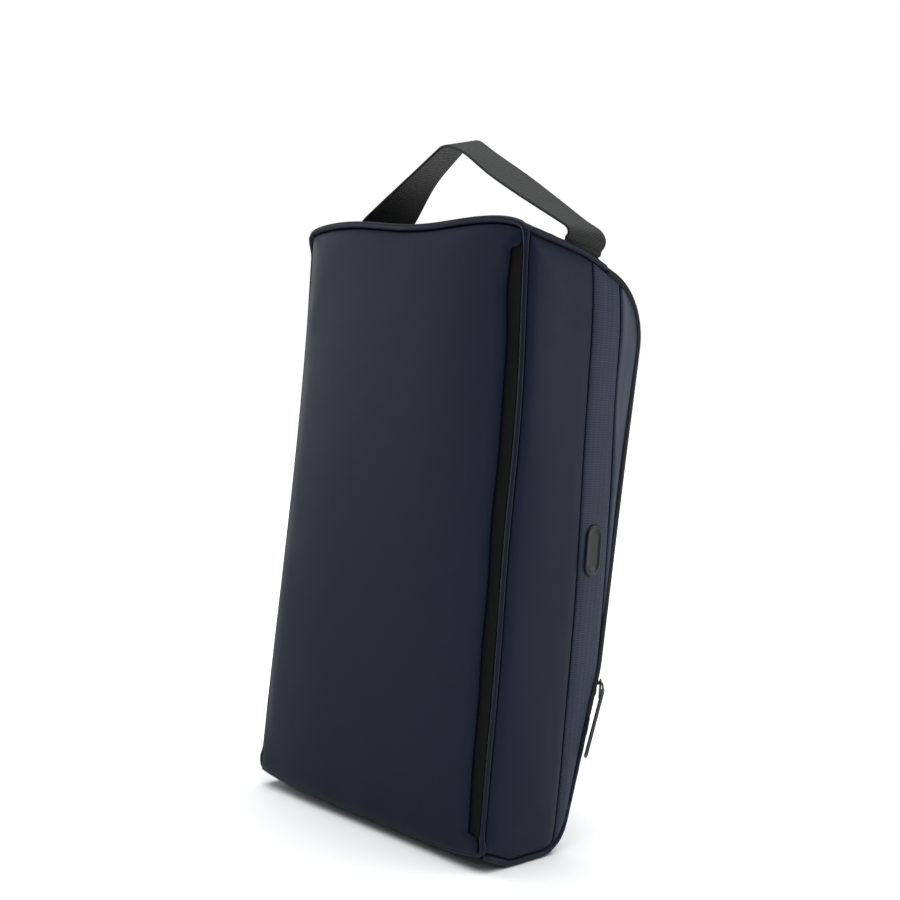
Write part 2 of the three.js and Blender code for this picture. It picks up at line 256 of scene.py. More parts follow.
@dataclass(frozen=True)
class Cloth:
    """A cut piece of cloth and how its edges are sewn down."""

    thickness: float
    roll: float = 1.4
    pull: float = 0.5
    step: float = 3.0

    EDGE_STEPS = (0.0, 0.1, 0.3, 0.6, 1.0, 1.7, 2.8)
    PULL_REACH = 2.2

    def stations(self, length: float) -> Array:
        """Shares of a length, close together where the edges roll in.

        Args:
            length: The distance from edge to edge.

        Returns:
            Values from 0 to 1.
        """
        near = np.array(self.EDGE_STEPS) * self.roll
        near = near[near < length / 3]
        count = max(2, math.ceil((length - 2 * near[-1]) / self.step) + 1)
        middle = np.linspace(near[-1], length - near[-1], count)
        return np.concatenate([near[:-1], middle, length - near[-2::-1]]) / length

    def make(self, name: str, outer: Array, outward: Array, closed: bool = False) -> bpy.types.Object:
        """Makes a closed piece of cloth behind its outer face, its edges rolled to half thickness.

        Args:
            name: The piece's name.
            outer: The outer face's points, rows by columns.
            outward: A direction, or one for each point, on the outer face's side.
            closed: Whether the last row meets the first.

        Returns:
            The new object.
        """
        rows, columns, _ = outer.shape
        along = np.roll(outer, -1, 0) - np.roll(outer, 1, 0) if closed else np.gradient(outer, axis=0)
        normal = unit(np.cross(along, np.gradient(outer, axis=1)))
        normal[np.sum(normal * outward, -1) < 0] *= -1
        step0 = np.linalg.norm(np.diff(outer, axis=0, append=outer[:1]), axis=-1)
        reach0 = np.vstack([np.zeros((1, columns)), np.cumsum(step0, 0)])[:rows]
        step1 = np.linalg.norm(np.diff(outer, axis=1), axis=-1)
        reach1 = np.hstack([np.zeros((rows, 1)), np.cumsum(step1, 1)])
        edge = np.minimum(reach1, reach1[:, -1:] - reach1)
        if not closed:
            edge = np.minimum(edge, np.minimum(reach0, reach0[-1:] - reach0))
        part = np.clip(1 - edge / self.roll, 0, 1)
        dip = self.thickness / 2 * (1 - np.sqrt(np.clip(1 - part ** 2, 0, 1)))
        drawn = self.pull * np.exp(-((edge / (self.PULL_REACH * self.roll)) ** 2))
        top = outer - normal * (dip + drawn)[..., None]
        under = outer - normal * (self.thickness - dip + drawn)[..., None]
        uv = np.stack([reach1 - reach1[:, -1:] / 2, reach0], -1) * MM
        return self._weld(name, top, under, uv, closed)

    def _weld(self, name: str, top: Array, under: Array, uv: Array, closed: bool) -> bpy.types.Object:
        """Joins the outer and inner faces along their shared edge.

        Args:
            name: The piece's name.
            top: The outer face's points.
            under: The inner face's points.
            uv: The cloth's own place of each point.
            closed: Whether the last row meets the first.

        Returns:
            The new object.
        """
        rows, columns, _ = top.shape
        count = rows * columns
        number = np.arange(count).reshape(rows, columns)
        below = number + count
        rim = np.zeros((rows, columns), bool)
        rim[:, 0] = rim[:, -1] = True
        if not closed:
            rim[0] = rim[-1] = True
        shared = np.where(rim, number, below).ravel()
        lower = [tuple(int(shared[k]) for k in reversed(face))
                 for face in grid_faces(rows, columns, closed)]
        faces = grid_faces(rows, columns, closed) + lower
        points = np.vstack([top.reshape(-1, 3), under.reshape(-1, 3)])
        used = np.unique(np.array(faces))
        renumber = np.full(2 * count, -1)
        renumber[used] = np.arange(len(used))
        faces = [tuple(int(renumber[k]) for k in face) for face in faces]
        places = np.vstack([uv.reshape(-1, 2)] * 2)
        return make_mesh(name, points[used], faces, places[used])


# Shares of a cord's radius at its last two rings, which dome its ends.
DOME = (0.35, 0.75)


def tube(name: str, path: Array, radius: Union[float, Array], side: Sequence[float],
         closed: bool = False, sides: int = 12, flatten: float = 1.0) -> bpy.types.Object:
    """Makes a round cord along a path, with domed ends if it is open.

    Args:
        name: The piece's name.
        path: The points of its middle line.
        radius: Its radius, or one for each point.
        side: A direction that its section never turns away from.
        closed: Whether the end meets the start.
        sides: Points round its section.
        flatten: Its size along side as a share of its size across.

    Returns:
        The new object.
    """
    radius = np.broadcast_to(np.asarray(radius, float), len(path)).copy()
    if closed:
        ahead = np.roll(path, -1, 0) - np.roll(path, 1, 0)
    else:
        ahead = np.gradient(path, axis=0)
        for k, share in enumerate(DOME):
            radius[k] *= share
            radius[-1 - k] *= share
    ahead = unit(ahead)
    across = unit(np.asarray(side, float) - ahead * (ahead @ np.asarray(side, float))[:, None])
    third = np.cross(ahead, across)
    angle = np.linspace(0, 2 * math.pi, sides, endpoint=False)
    ring = (across[:, None] * np.cos(angle)[None, :, None] * flatten
            + third[:, None] * np.sin(angle)[None, :, None])
    points = path[:, None] + ring * radius[:, None, None]
    rows = len(path)
    faces = []
    for i in range(rows if closed else rows - 1):
        for j in range(sides):
            a, b = i * sides, ((i + 1) % rows) * sides
            k = (j + 1) % sides
            faces.append((a + j, b + j, b + k, a + k))
    points = points.reshape(-1, 3)
    reach = np.concatenate([[0], np.cumsum(np.linalg.norm(np.diff(path, axis=0), axis=1))])
    uv = np.stack([np.tile(angle * radius.mean(), rows), np.repeat(reach, sides)], -1) * MM
    if not closed:
        faces.append(tuple(range(sides - 1, -1, -1)))
        faces.append(tuple((rows - 1) * sides + j for j in range(sides)))
    return make_mesh(name, points, faces, uv)


# The bag's drawn shape

@dataclass(frozen=True)
class Corner:
    """A corner of the side outline: depth in front of the base, height, and rounding radius."""

    depth: float
    height: float
    round: float


class Loop:
    """A closed line in (Y, Z), counter-clockwise, read by the distance along it."""

    SPACING = 0.5
    REACH = 1.5
    MARK_STEP = 4
    BATCH = 2000

    def __init__(self, points: Array) -> None:
        """Measures the line.

        Args:
            points: Its corners and arc points, in order.
        """
        closed = np.vstack([points, points[:1]])
        length = np.linalg.norm(np.diff(closed, axis=0), axis=1).sum()
        self.points = evenly(closed, int(length / self.SPACING) + 1)
        self.length = float(length)
        self.reach = np.linspace(0, self.length, len(self.points))

    def at(self, distance: Array) -> Array:
        """The points at distances along the line, as (Y, Z)."""
        where = np.mod(distance, self.length)
        return np.stack([np.interp(where, self.reach, self.points[:, k]) for k in (0, 1)], -1)

    def outward(self, distance: Array) -> Array:
        """The outward directions at distances along the line, as (Y, Z)."""
        ahead = unit(self.at(distance + self.REACH) - self.at(distance - self.REACH))
        return np.stack([ahead[..., 1], -ahead[..., 0]], -1)

    def crossings(self, values: Array) -> Array:
        """Finds where a value read at each of the line's own points passes zero.

        Args:
            values: One value for each of the line's points.

        Returns:
            The distances along the line, in order.
        """
        k = np.nonzero(np.sign(values[:-1]) != np.sign(values[1:]))[0]
        share = values[k] / (values[k] - values[k + 1])
        return self.reach[k] + share * (self.reach[k + 1] - self.reach[k])

    def clearance(self, place: Array) -> Array:
        """How far points lie from the line.

        Args:
            place: Points in (Y, Z).

        Returns:
            The distance to the nearest point of the line.
        """
        flat = place.reshape(-1, 2)
        marks = self.points[::self.MARK_STEP]
        nearest = [np.min(np.linalg.norm(marks[None] - part[:, None], axis=-1), axis=1)
                   for part in np.array_split(flat, max(1, len(flat) // self.BATCH))]
        return np.concatenate(nearest).reshape(place.shape[:-1])


@dataclass(frozen=True)
class Pattern:
    """The bag's cutting pattern: the drawn shape that each panel is cut to, before it slouches."""

    half_width: float
    base_bottom: float
    base_top: float
    half_depth: float
    corners: tuple[Corner, ...]
    arc_step: float = math.pi / 60

    MIN_ROUND = 0.4

    @classmethod
    def from_frame(cls) -> "Pattern":
        """Reads the main sizes from the frame's base piping, and adds the outline's own corners."""
        low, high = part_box("base_piping")
        bottom, top = low.z / MM, high.z / MM
        corners = (
            Corner(0, bottom, 3),
            Corner(24, 0, 15),
            Corner(68.5, 0, 22),
            Corner(93.5, 105, 60),
            Corner(107.6, 323, 42),
            Corner(54, 344, 90),
            Corner(0, top, 3),
        )
        return cls(high.x / MM, bottom, top, -low.y / MM, corners)

    def loop(self, inset: float = 0.0) -> Loop:
        """The rounded side outline, moved inwards.

        Args:
            inset: How far inwards.

        Returns:
            The closed line.
        """
        place = np.array([(c.depth - self.half_depth, c.height) for c in self.corners])
        edges = unit(np.roll(place, -1, 0) - place)
        inward = np.stack([-edges[:, 1], edges[:, 0]], -1)
        before = np.roll(inward, 1, 0)
        place = place + (before + inward) * (inset / (1 + np.sum(before * inward, 1)))[:, None]
        points = []
        for i, corner in enumerate(self.corners):
            radius = max(corner.round - inset, self.MIN_ROUND)
            back = unit(place[i - 1] - place[i])
            ahead = unit(place[(i + 1) % len(place)] - place[i])
            turn = math.pi - math.acos(float(np.clip(back @ ahead, -1, 1)))
            start = place[i] + back * radius * math.tan(turn / 2)
            centre = start + np.array([back[1], -back[0]]) * radius
            first = math.atan2(*(start - centre)[::-1])
            angles = first + np.linspace(0, turn, max(2, math.ceil(turn / self.arc_step)))
            points.append(centre + radius * np.stack([np.cos(angles), np.sin(angles)], -1))
        return Loop(np.vstack(points))


@dataclass(frozen=True)
class Slouch:
    """How the soft bag sits away from its drawn shape, as one smooth shift of every point."""

    pattern: Pattern
    lean_low: float = -13.0
    lean_gain: float = 18.5
    lean_heights: Span = (-60, 310)
    lean_across: Span = (-1.0, 0.75)
    lean_depths: Span = (0, 100)
    lean_fade: float = 0.65
    bow_high: float = 4.2
    bow_high_at: Span = (255, 72)
    bow_low: float = 2.0
    bow_low_at: Span = (120, 62)
    bow_across: Span = (0.45, 1.0)
    bow_depths: Span = (4, 66)
    crest: float = 4.5
    crest_wave: float = 1.6
    crest_peak: float = 68
    crest_length: float = 124
    crest_squareness: int = 12
    crest_heights: Span = (300, 350)
    crest_depths: Span = (0, 66)
    crest_fade: float = 0.8
    droop: float = 5.0
    droop_right: float = 1.4
    droop_squareness: int = 5
    droop_heights: Span = (6, 60)
    droop_depths: Span = (0, 25)
    shoulder: float = 1.5
    shoulder_at: Span = (315, 75)
    shoulder_depths: Span = (50, 100)

    def __call__(self, points: Array) -> Array:
        """Moves points from the drawn shape to the soft one.

        Args:
            points: Any array whose last axis is X, Y, Z.

        Returns:
            The moved points.
        """
        x, y, z = points[..., 0], points[..., 1], points[..., 2]
        pattern = self.pattern
        across = x / pattern.half_width
        depth = y + pattern.half_depth
        edge = np.clip(np.abs(across), 0, 1)
        lean = (self.lean_low + self.lean_gain * smooth(z, *self.lean_heights)) / 2
        lean = lean * (1 - smooth(across, *self.lean_across))
        lean = lean * (1 - self.lean_fade * smooth(depth, *self.lean_depths))
        bow = self.bow_high * bump(z, *self.bow_high_at) + self.bow_low * bump(z, *self.bow_low_at)
        bow = bow * smooth(across, *self.bow_across) * (1 - smooth(depth, *self.bow_depths))
        wave = np.cos(2 * math.pi * (x - self.crest_peak) / self.crest_length)
        crest = (self.crest + self.crest_wave * wave) * (1 - edge ** self.crest_squareness)
        crest = crest * smooth(z, *self.crest_heights)
        crest = crest * (1 - self.crest_fade * smooth(depth, *self.crest_depths))
        droop = (self.droop + self.droop_right * across) * (1 - edge ** self.droop_squareness)
        droop = droop * (1 - smooth(z, *self.droop_heights)) * (1 - smooth(depth, *self.droop_depths))
        shoulder = self.shoulder * bump(z, *self.shoulder_at) * smooth(depth, *self.shoulder_depths)
        return np.stack([x + lean + bow, y + lean + shoulder, z + crest - droop], -1)


class Surfaces:
    """The bag's three kinds of wall, each giving points at a lift above its drawn face."""

    HINGE_HEIGHT = 100.0
    BASE_CROWN = 3.0
    PUCKER = 0.75
    PUCKER_LENGTH = 74
    PUCKER_FAN = 55
    PUCKER_REACH = 24
    PUCKER_RISE = 7
    PUCKER_SEED = 11
    HEM = 0.25
    HEM_LENGTH = 46
    HEM_REACH = 26
    HEM_RISE = 8
    HEM_SEED = 5
    SIDE_BULGE = 4.5
    SIDE_REACH = 20.0
    # Size, height and depth of the hollow high on each side, and of the swelling below it.
    DENTS = ((1.6, (268, 26), (96, 12)), (-0.8, (210, 30), (95, 12)))
    DENT_RISE = (4.5, 11)
    SIDE_WAVE = 0.5
    SIDE_SLANT = 0.8
    SIDE_LENGTH = 120
    SIDE_RISE = (6, 30)
    SIDE_SEED = 21
    WRAP_BULGE = 4.0
    WRAP_RISE = (4, 70)
    WRAP_FALL = (330, 410)

    def __init__(self, pattern: Pattern) -> None:
        """Prepares the outline.

        Args:
            pattern: The cutting pattern.
        """
        self.pattern = pattern
        self.slouch = Slouch(pattern)
        self.outline = pattern.loop()
        self.middle = (pattern.base_bottom + pattern.base_top) / 2
        self.front_limit = self.front_distance(self.middle)
        self.hinge = self.front_distance(self.HINGE_HEIGHT)

    def front_distance(self, height: float) -> float:
        """The distance along the outline of a height on the bag's front."""
        return float(self.outline.crossings(self.outline.points[:, 1] - height)[0])

    def top_distance(self, depth: float) -> float:
        """The distance along the outline of a depth on the bag's top end."""
        found = self.outline.crossings(self.outline.points[:, 0] + self.pattern.half_depth - depth)
        return float(found[found > self.front_limit][0])

    def bottom_distance(self, depth: float) -> float:
        """The distance along the outline of a depth on the bag's bottom end."""
        found = self.outline.crossings(self.outline.points[:, 0] + self.pattern.half_depth - depth)
        return float(found[found < self.front_limit][0])

    def base(self, x: Array, z: Array, lift: Array = 0.0, soft: float = 1.0) -> Array:
        """Points of the base panel's wall.

        Args:
            x: Places across the bag.
            z: Heights.
            lift: How far outwards from the drawn face.
            soft: The share of the cloth's own puckers to add.

        Returns:
            The points, after slouching.
        """
        p = self.pattern
        across = np.clip(np.abs(x) / p.half_width, 0, 1)
        up = np.clip((z - self.middle) / (p.base_top - self.middle), -1, 1)
        crown = self.BASE_CROWN * (1 - across ** 4) * (1 - up ** 6)
        edge = x + p.half_width
        fan = (z - self.middle) / (1 + edge / self.PUCKER_FAN)
        pucker = ripple(fan, self.PUCKER_LENGTH, self.PUCKER_SEED) * np.exp(-edge / self.PUCKER_REACH)
        pucker = pucker * smooth(edge, 0, self.PUCKER_RISE) * (1 - up ** 10)
        low = ripple(x, self.HEM_LENGTH, self.HEM_SEED) * bump(z, p.base_bottom, self.HEM_REACH)
        low = low * smooth(z, p.base_bottom, p.base_bottom + self.HEM_RISE)
        uneven = self.PUCKER * pucker + self.HEM * low * (1 - across ** 8)
        y = -p.half_depth - lift - crown - soft * uneven
        return self.slouch(np.stack(np.broadcast_arrays(x, y, z), -1))

    def side(self, hand: int, place: Array, face: float, soft: float = 1.0) -> Array:
        """Points of a side panel's wall.

        Args:
            hand: 1 on the right, -1 on the left.
            place: Points in (Y, Z).
            face: The wall's drawn X.
            soft: The share of the cloth's own dents to add.

        Returns:
            The points, after slouching.
        """
        y, z = place[..., 0], place[..., 1]
        clearance = self.outline.clearance(place)
        bulge = self.SIDE_BULGE * (1 - np.exp(-clearance / self.SIDE_REACH))
        depth = y + self.pattern.half_depth
        dent = sum(size * bump(z, *height) * bump(depth, *at) for size, height, at in self.DENTS)
        dent = dent * smooth(clearance, *self.DENT_RISE)
        wave = ripple(z + self.SIDE_SLANT * depth, self.SIDE_LENGTH, self.SIDE_SEED)
        dent = dent + self.SIDE_WAVE * wave * smooth(depth, *self.SIDE_RISE)
        x = hand * (face + bulge - soft * dent)
        return self.slouch(np.stack(np.broadcast_arrays(x, y, z), -1))

    def wrap(self, x: Array, distance: Array, lift: Array = 0.0) -> Array:
        """Points of the wall that wraps round the ends and the front.

        Args:
            x: Places across the bag.
            distance: Distances along the outline.
            lift: How far outwards from the drawn face.

        Returns:
            The points, after slouching.
        """
        place = self.outline.at(distance)
        outward = self.outline.outward(distance)
        across = np.clip(np.abs(x) / self.pattern.half_width, 0, 1)
        rise = smooth(distance, self.hinge + self.WRAP_RISE[0], self.hinge + self.WRAP_RISE[1])
        bulge = self.WRAP_BULGE * (1 - across ** 4) * rise * (1 - smooth(distance, *self.WRAP_FALL))
        out = lift + bulge
        y = place[..., 0] + outward[..., 0] * out
        z = place[..., 1] + outward[..., 1] * out
        return self.slouch(np.stack(np.broadcast_arrays(x, y, z), -1))

    def wrap_outward(self, distance: Array) -> Array:
        """The wrap's outward directions as X, Y, Z."""
        outward = self.outline.outward(distance)
        return np.concatenate([np.zeros(outward.shape[:-1] + (1,)), outward], -1)


# Finishes

def add_node(tree: bpy.types.NodeTree, kind: str, settings: Optional[dict] = None,
             inputs: Optional[dict] = None) -> bpy.types.Node:
    """Adds a node with its settings, and sets or links its inputs.

    Args:
        tree: The node tree.
        kind: The node's type name.
        settings: Values of the node's own properties.
        inputs: A value or another node's output for each input, by name or number.

    Returns:
        The new node.
    """
    node = tree.nodes.new(kind)
    for name, value in (settings or {}).items():
        setattr(node, name, value)
    for key, value in (inputs or {}).items():
        socket = node.inputs[key]
        if isinstance(value, bpy.types.NodeSocket):
            tree.links.new(value, socket)
        else:
            socket.default_value = value
    return node


class Weave(Enum):
    """How the threads of a woven finish cross."""

    PLAIN = "plain"
    RIPSTOP = "ripstop"
    HERRINGBONE = "herringbone"
    RIBBED = "ribbed"


@dataclass(frozen=True)
class Finish:
    """What every finish has: a real material's name, its two close shades and how it shines."""

    name: str
    shade: str
    light: str
    roughness: float = 0.6
    ior: float = 1.5
    specular: float = 0.5
    metallic: float = 0.0
    coat: float = 0.0
    coat_roughness: float = 0.2
    sheen: float = 0.0
    sheen_roughness: float = 0.4
    sheen_tint: str = "#ffffff"
    form: str = "part"

    def material(self) -> bpy.types.Material:
        """The finish's material, made once.

        Returns:
            The material.
        """
        found = bpy.data.materials.get(self.name)
        if found:
            return found
        made = bpy.data.materials.new(self.name)
        made.use_nodes = True
        tree = made.node_tree
        tree.nodes.clear()
        colour, roughness, normal = self.surface(tree)
        shader = add_node(tree, "ShaderNodeBsdfPrincipled", None, {
            "Base Color": colour,
            "Roughness": roughness,
            "Normal": normal,
            "IOR": self.ior,
            "Specular IOR Level": self.specular,
            "Metallic": self.metallic,
            "Coat Weight": self.coat,
            "Coat Roughness": self.coat_roughness,
            "Sheen Weight": self.sheen,
            "Sheen Roughness": self.sheen_roughness,
            "Sheen Tint": linear(self.sheen_tint),
        })
        add_node(tree, "ShaderNodeOutputMaterial", None, {"Surface": shader.outputs["BSDF"]})
        made.diffuse_color = linear(self.shade)
        return made

    def surface(self, tree: bpy.types.NodeTree) -> tuple:
        """Adds the nodes of colour, roughness and bump.

        Args:
            tree: The material's node tree.

        Returns:
            The three outputs, for colour, roughness and normal.
        """
        raise NotImplementedError

    def shades(self, tree: bpy.types.NodeTree, share: bpy.types.NodeSocket) -> bpy.types.NodeSocket:
        """Mixes the two shades by a share, and returns the colour output."""
        mix = add_node(tree, "ShaderNodeMix", {"data_type": "RGBA"},
                       {0: share, 6: linear(self.shade), 7: linear(self.light)})
        return mix.outputs[2]

    def spread(self, tree: bpy.types.NodeTree, source: bpy.types.NodeSocket,
               amount: float) -> bpy.types.NodeSocket:
        """Turns a 0 to 1 source into a roughness that varies round the finish's own.

        Args:
            tree: The material's node tree.
            source: The varying value.
            amount: How far it varies, in all.

        Returns:
            The roughness output.
        """
        node = add_node(tree, "ShaderNodeMapRange", None, {
            "Value": source,
            "To Min": self.roughness - amount / 2,
            "To Max": self.roughness + amount / 2,
        })
        return node.outputs[0]


@dataclass(frozen=True)
class Woven(Finish):
    """A woven finish, its threads following the cloth's own places."""

    weave: Weave = Weave.PLAIN
    pitch: float = 0.9
    height: float = 0.06
    mottle: float = 60.0
    drape: float = 0.25

    def bands(self, tree: bpy.types.NodeTree, place: bpy.types.NodeSocket, direction: str,
              pitch: float) -> bpy.types.NodeSocket:
        """Adds thread bands across one direction of the cloth.

        Args:
            tree: The material's node tree.
            place: The cloth's own place.
            direction: X, Y or DIAGONAL.
            pitch: The distance from thread to thread, in millimetres.

        Returns:
            The bands' height, from 0 to 1.
        """
        node = add_node(tree, "ShaderNodeTexWave",
                        {"wave_type": "BANDS", "bands_direction": direction, "wave_profile": "SIN"},
                        {"Vector": place, "Scale": 2 * math.pi / 20 / (pitch * MM), "Distortion": 0.0})
        return node.outputs["Fac"]

    def threads(self, tree: bpy.types.NodeTree, place: bpy.types.NodeSocket) -> bpy.types.NodeSocket:
        """Adds the weave's height, from 0 to 1.

        Args:
            tree: The material's node tree.
            place: The cloth's own place.

        Returns:
            The height output.
        """
        kinds = {
            Weave.PLAIN: ("X", 1.0, "Y", 1.0, "MULTIPLY"),
            Weave.RIPSTOP: ("Y", 1.0, "X", 3.0, "AVERAGE"),
            Weave.HERRINGBONE: ("DIAGONAL", 1.0, "Y", 2.5, "MULTIPLY"),
            Weave.RIBBED: ("Y", 1.0, "X", 1.4, "AVERAGE"),
        }
        first, fine, second, coarse, how = kinds[self.weave]
        a = self.bands(tree, place, first, self.pitch * fine)
        b = self.bands(tree, place, second, self.pitch * coarse)
        if how == "MULTIPLY":
            return add_node(tree, "ShaderNodeMath", {"operation": "MULTIPLY"}, {0: a, 1: b}).outputs[0]
        part = add_node(tree, "ShaderNodeMath", {"operation": "MULTIPLY"}, {0: b, 1: 0.3}).outputs[0]
        main = add_node(tree, "ShaderNodeMath", {"operation": "MULTIPLY_ADD"}, {0: a, 1: 0.7, 2: part})
        return main.outputs[0]

    def surface(self, tree: bpy.types.NodeTree) -> tuple:
        """Adds threads, a faint unevenness of the dye, soft ripples, and a painted highlight where the raised
        threads take the lighter shade.

        Args:
            tree: The material's node tree.

        Returns:
            The three outputs, for colour, roughness and normal.
        """
        place = add_node(tree, "ShaderNodeUVMap", {"uv_map": "cloth"}).outputs["UV"]
        thread = self.threads(tree, place)
        where = add_node(tree, "ShaderNodeTexCoord").outputs["Object"]
        mottle = add_node(tree, "ShaderNodeTexNoise", None,
                          {"Vector": where, "Scale": self.mottle, "Detail": 4.0}).outputs["Fac"]
        # The raised threads take the lighter shade: a painted highlight on the thread tops, multiplied by the
        # dye's random unevenness.
        share = add_node(tree, "ShaderNodeMath", {"operation": "MULTIPLY"}, {0: thread, 1: mottle})
        ripples = add_node(tree, "ShaderNodeTexNoise", None,
                           {"Vector": where, "Scale": 26.0, "Detail": 2.0, "Roughness": 0.4})
        folds = add_node(tree, "ShaderNodeBump", None, {
            "Strength": self.drape, "Distance": 0.0012, "Height": ripples.outputs["Fac"]})
        fine = add_node(tree, "ShaderNodeBump", None, {
            "Strength": 1.0, "Distance": self.height * MM, "Height": thread,
            "Normal": folds.outputs["Normal"]})
        return (self.shades(tree, share.outputs[0]), self.spread(tree, mottle, 0.12),
                fine.outputs["Normal"])


@dataclass(frozen=True)
class Moulded(Finish):
    """A cast, moulded or painted finish, with a grain and fine wear."""

    grain: float = 900.0
    depth: float = 0.03
    cells: bool = False

    def surface(self, tree: bpy.types.NodeTree) -> tuple:
        """Adds a fine grain, or open cells on foam.

        Args:
            tree: The material's node tree.

        Returns:
            The three outputs, for colour, roughness and normal.
        """
        where = add_node(tree, "ShaderNodeTexCoord").outputs["Object"]
        if self.cells:
            node = add_node(tree, "ShaderNodeTexVoronoi", None, {"Vector": where, "Scale": self.grain})
            height = node.outputs["Distance"]
        else:
            node = add_node(tree, "ShaderNodeTexNoise", None,
                            {"Vector": where, "Scale": self.grain, "Detail": 3.0})
            height = node.outputs["Fac"]
        fine = add_node(tree, "ShaderNodeBump", None,
                        {"Strength": 0.6, "Distance": self.depth * MM, "Height": height})
        return self.shades(tree, height), self.spread(tree, height, 0.14), fine.outputs["Normal"]


# Tightly woven polyester with a clear coating rolled on: an even satin with barely any thread to see.
# Its threads are about 0.3 mm apart and are drawn at 0.8 mm so that they show at all.
COATED_POLYESTER = Woven("coated_polyester", "#0c1425", "#121c31", form="cloth", roughness=0.5,
                         specular=0.1, sheen=0.02, sheen_roughness=0.35, sheen_tint="#9fb0cc",
                         pitch=0.8, height=0.02, drape=0.12)
# The same cloth with the coating's glossier side out, and a paler colour painted in: a painted highlight for
# the light that grazes the front strip.
PAINTED_HIGHLIGHT_POLYESTER = Woven("coated_polyester_painted_highlight", "#1d2738", "#2a3448", form="cloth", roughness=0.4,
                        specular=0.2, sheen=0.06, sheen_roughness=0.35, sheen_tint="#b9c4d8",
                        pitch=0.8, height=0.02, drape=0.12)
# Polyester with a raised cross rib every few threads; the ribs are drawn in a much lighter shade, a painted
# highlight for the fine level lines of light that they catch.
RIPSTOP_POLYESTER = Woven("ripstop_polyester", "#161d2d", "#343c50", form="cloth", roughness=0.55,
                          specular=0.15, sheen=0.04, sheen_tint="#9fb0cc", weave=Weave.RIPSTOP,
                          pitch=1.4, height=0.12, drape=0.1)
# Coated cloth stretched over a cord: the same cloth, a little glossier where it is drawn tight.
PIPING_CLOTH = Woven("coated_piping_cloth", "#0c1322", "#141c2e", form="cord", roughness=0.45, specular=0.12,
                     sheen=0.02, pitch=0.8, height=0.03, drape=0.3)
# Light plain-woven polyester: dull, with a visible crossing of threads.
LINING_POLYESTER = Woven("plain_lining_polyester", "#08090a", "#101114", form="cloth", roughness=0.85,
                         specular=0.15, pitch=0.9, height=0.06)
# Narrow herringbone polyester tape: dull, and slightly hairy at the edge.
TAPE_POLYESTER = Woven("woven_tape_polyester", "#151618", "#222327", form="weave", roughness=0.78,
                       specular=0.2, weave=Weave.HERRINGBONE, pitch=0.9, height=0.08)
# Woven polypropylene webbing: flat shiny yarns in ribs that cross the strap.
WEBBING_POLYPROPYLENE = Woven("woven_polypropylene", "#090a0a", "#1b1c1b", form="webbing", roughness=0.62,
                              ior=1.49, specular=0.2, sheen=0.08, sheen_roughness=0.5,
                              weave=Weave.RIBBED, pitch=1.5, height=0.22, drape=0.1)
# Spun polyester sewing thread: matt, and a shade lighter than the cloth it holds.
SEWING_THREAD = Moulded("spun_polyester_thread", "#141b2a", "#212a3d", form="thread", roughness=0.7,
                        specular=0.2, grain=2600.0, depth=0.05)
# Extruded nylon coil: smooth, with a low plastic shine.
COIL_NYLON = Moulded("extruded_nylon", "#0b0c0d", "#131416", form="teeth", specular=0.3,
                     roughness=0.42, ior=1.53, grain=1400.0, depth=0.02)
# Moulded rubber: black, with a soft satin skin.
MOULDED_RUBBER = Moulded("moulded_rubber", "#060708", "#0c0d0e", form="moulding", specular=0.22,
                         roughness=0.42, ior=1.52, grain=1500.0, depth=0.02)
# Die-cast zinc under black paint: smooth, with the paint's clear shine.
PAINTED_ZINC = Moulded("painted_zinc", "#121315", "#1d1e21", form="casting", roughness=0.4, coat=0.5,
                       coat_roughness=0.15, grain=1100.0, depth=0.02)
# Closed-cell foam sheet: small open cells on the cut face, quite matt.
CLOSED_CELL_FOAM = Moulded("closed_cell_foam", "#4a4d52", "#5f6267", form="sheet", roughness=0.9,
                           grain=900.0, depth=0.3, cells=True)
# Polyethylene sheet: waxy and smooth.
POLYETHYLENE_SHEET = Moulded("polyethylene_sheet", "#151517", "#1d1d20", form="sheet", roughness=0.5,
                             ior=1.51, grain=300.0, depth=0.03)
# Matt background paper: even and pale.
BACKGROUND_PAPER = Moulded("background_paper", "#f4f4f4", "#f7f7f7", roughness=0.95, specular=0.1,
                           grain=80.0, depth=0.02)


def dress(piece: bpy.types.Object, finish: Finish, body: Body,
          nodes: Iterable[str] = (), bend: Optional[tuple[Vector, Vector]] = None) -> bpy.types.Object:
    """Gives a piece its material, its body and the frame's nodes that it stands for.

    Args:
        piece: The finished mesh.
        finish: Its finish.
        body: The body that it rides on; with a bend it is only logged.
        nodes: The frame's nodes that it replaces.
        bend: Where a bend would start and end; only whether it is given is read, and such a piece stays in
            place with no body.

    Returns:
        The same piece.
    """
    piece.name = f"{piece.name.split('.')[0]}_{finish.form}"
    piece.data.name = piece.name
    piece.data.materials.clear()
    piece.data.materials.append(finish.material())
    if bend:
        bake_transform(piece)
    else:
        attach(piece, body)
    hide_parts(*nodes)
    log.info("piece %s: %s, %d faces, on %s", piece.name, finish.name, len(piece.data.polygons), body)
    return piece


# Rows of small repeated things

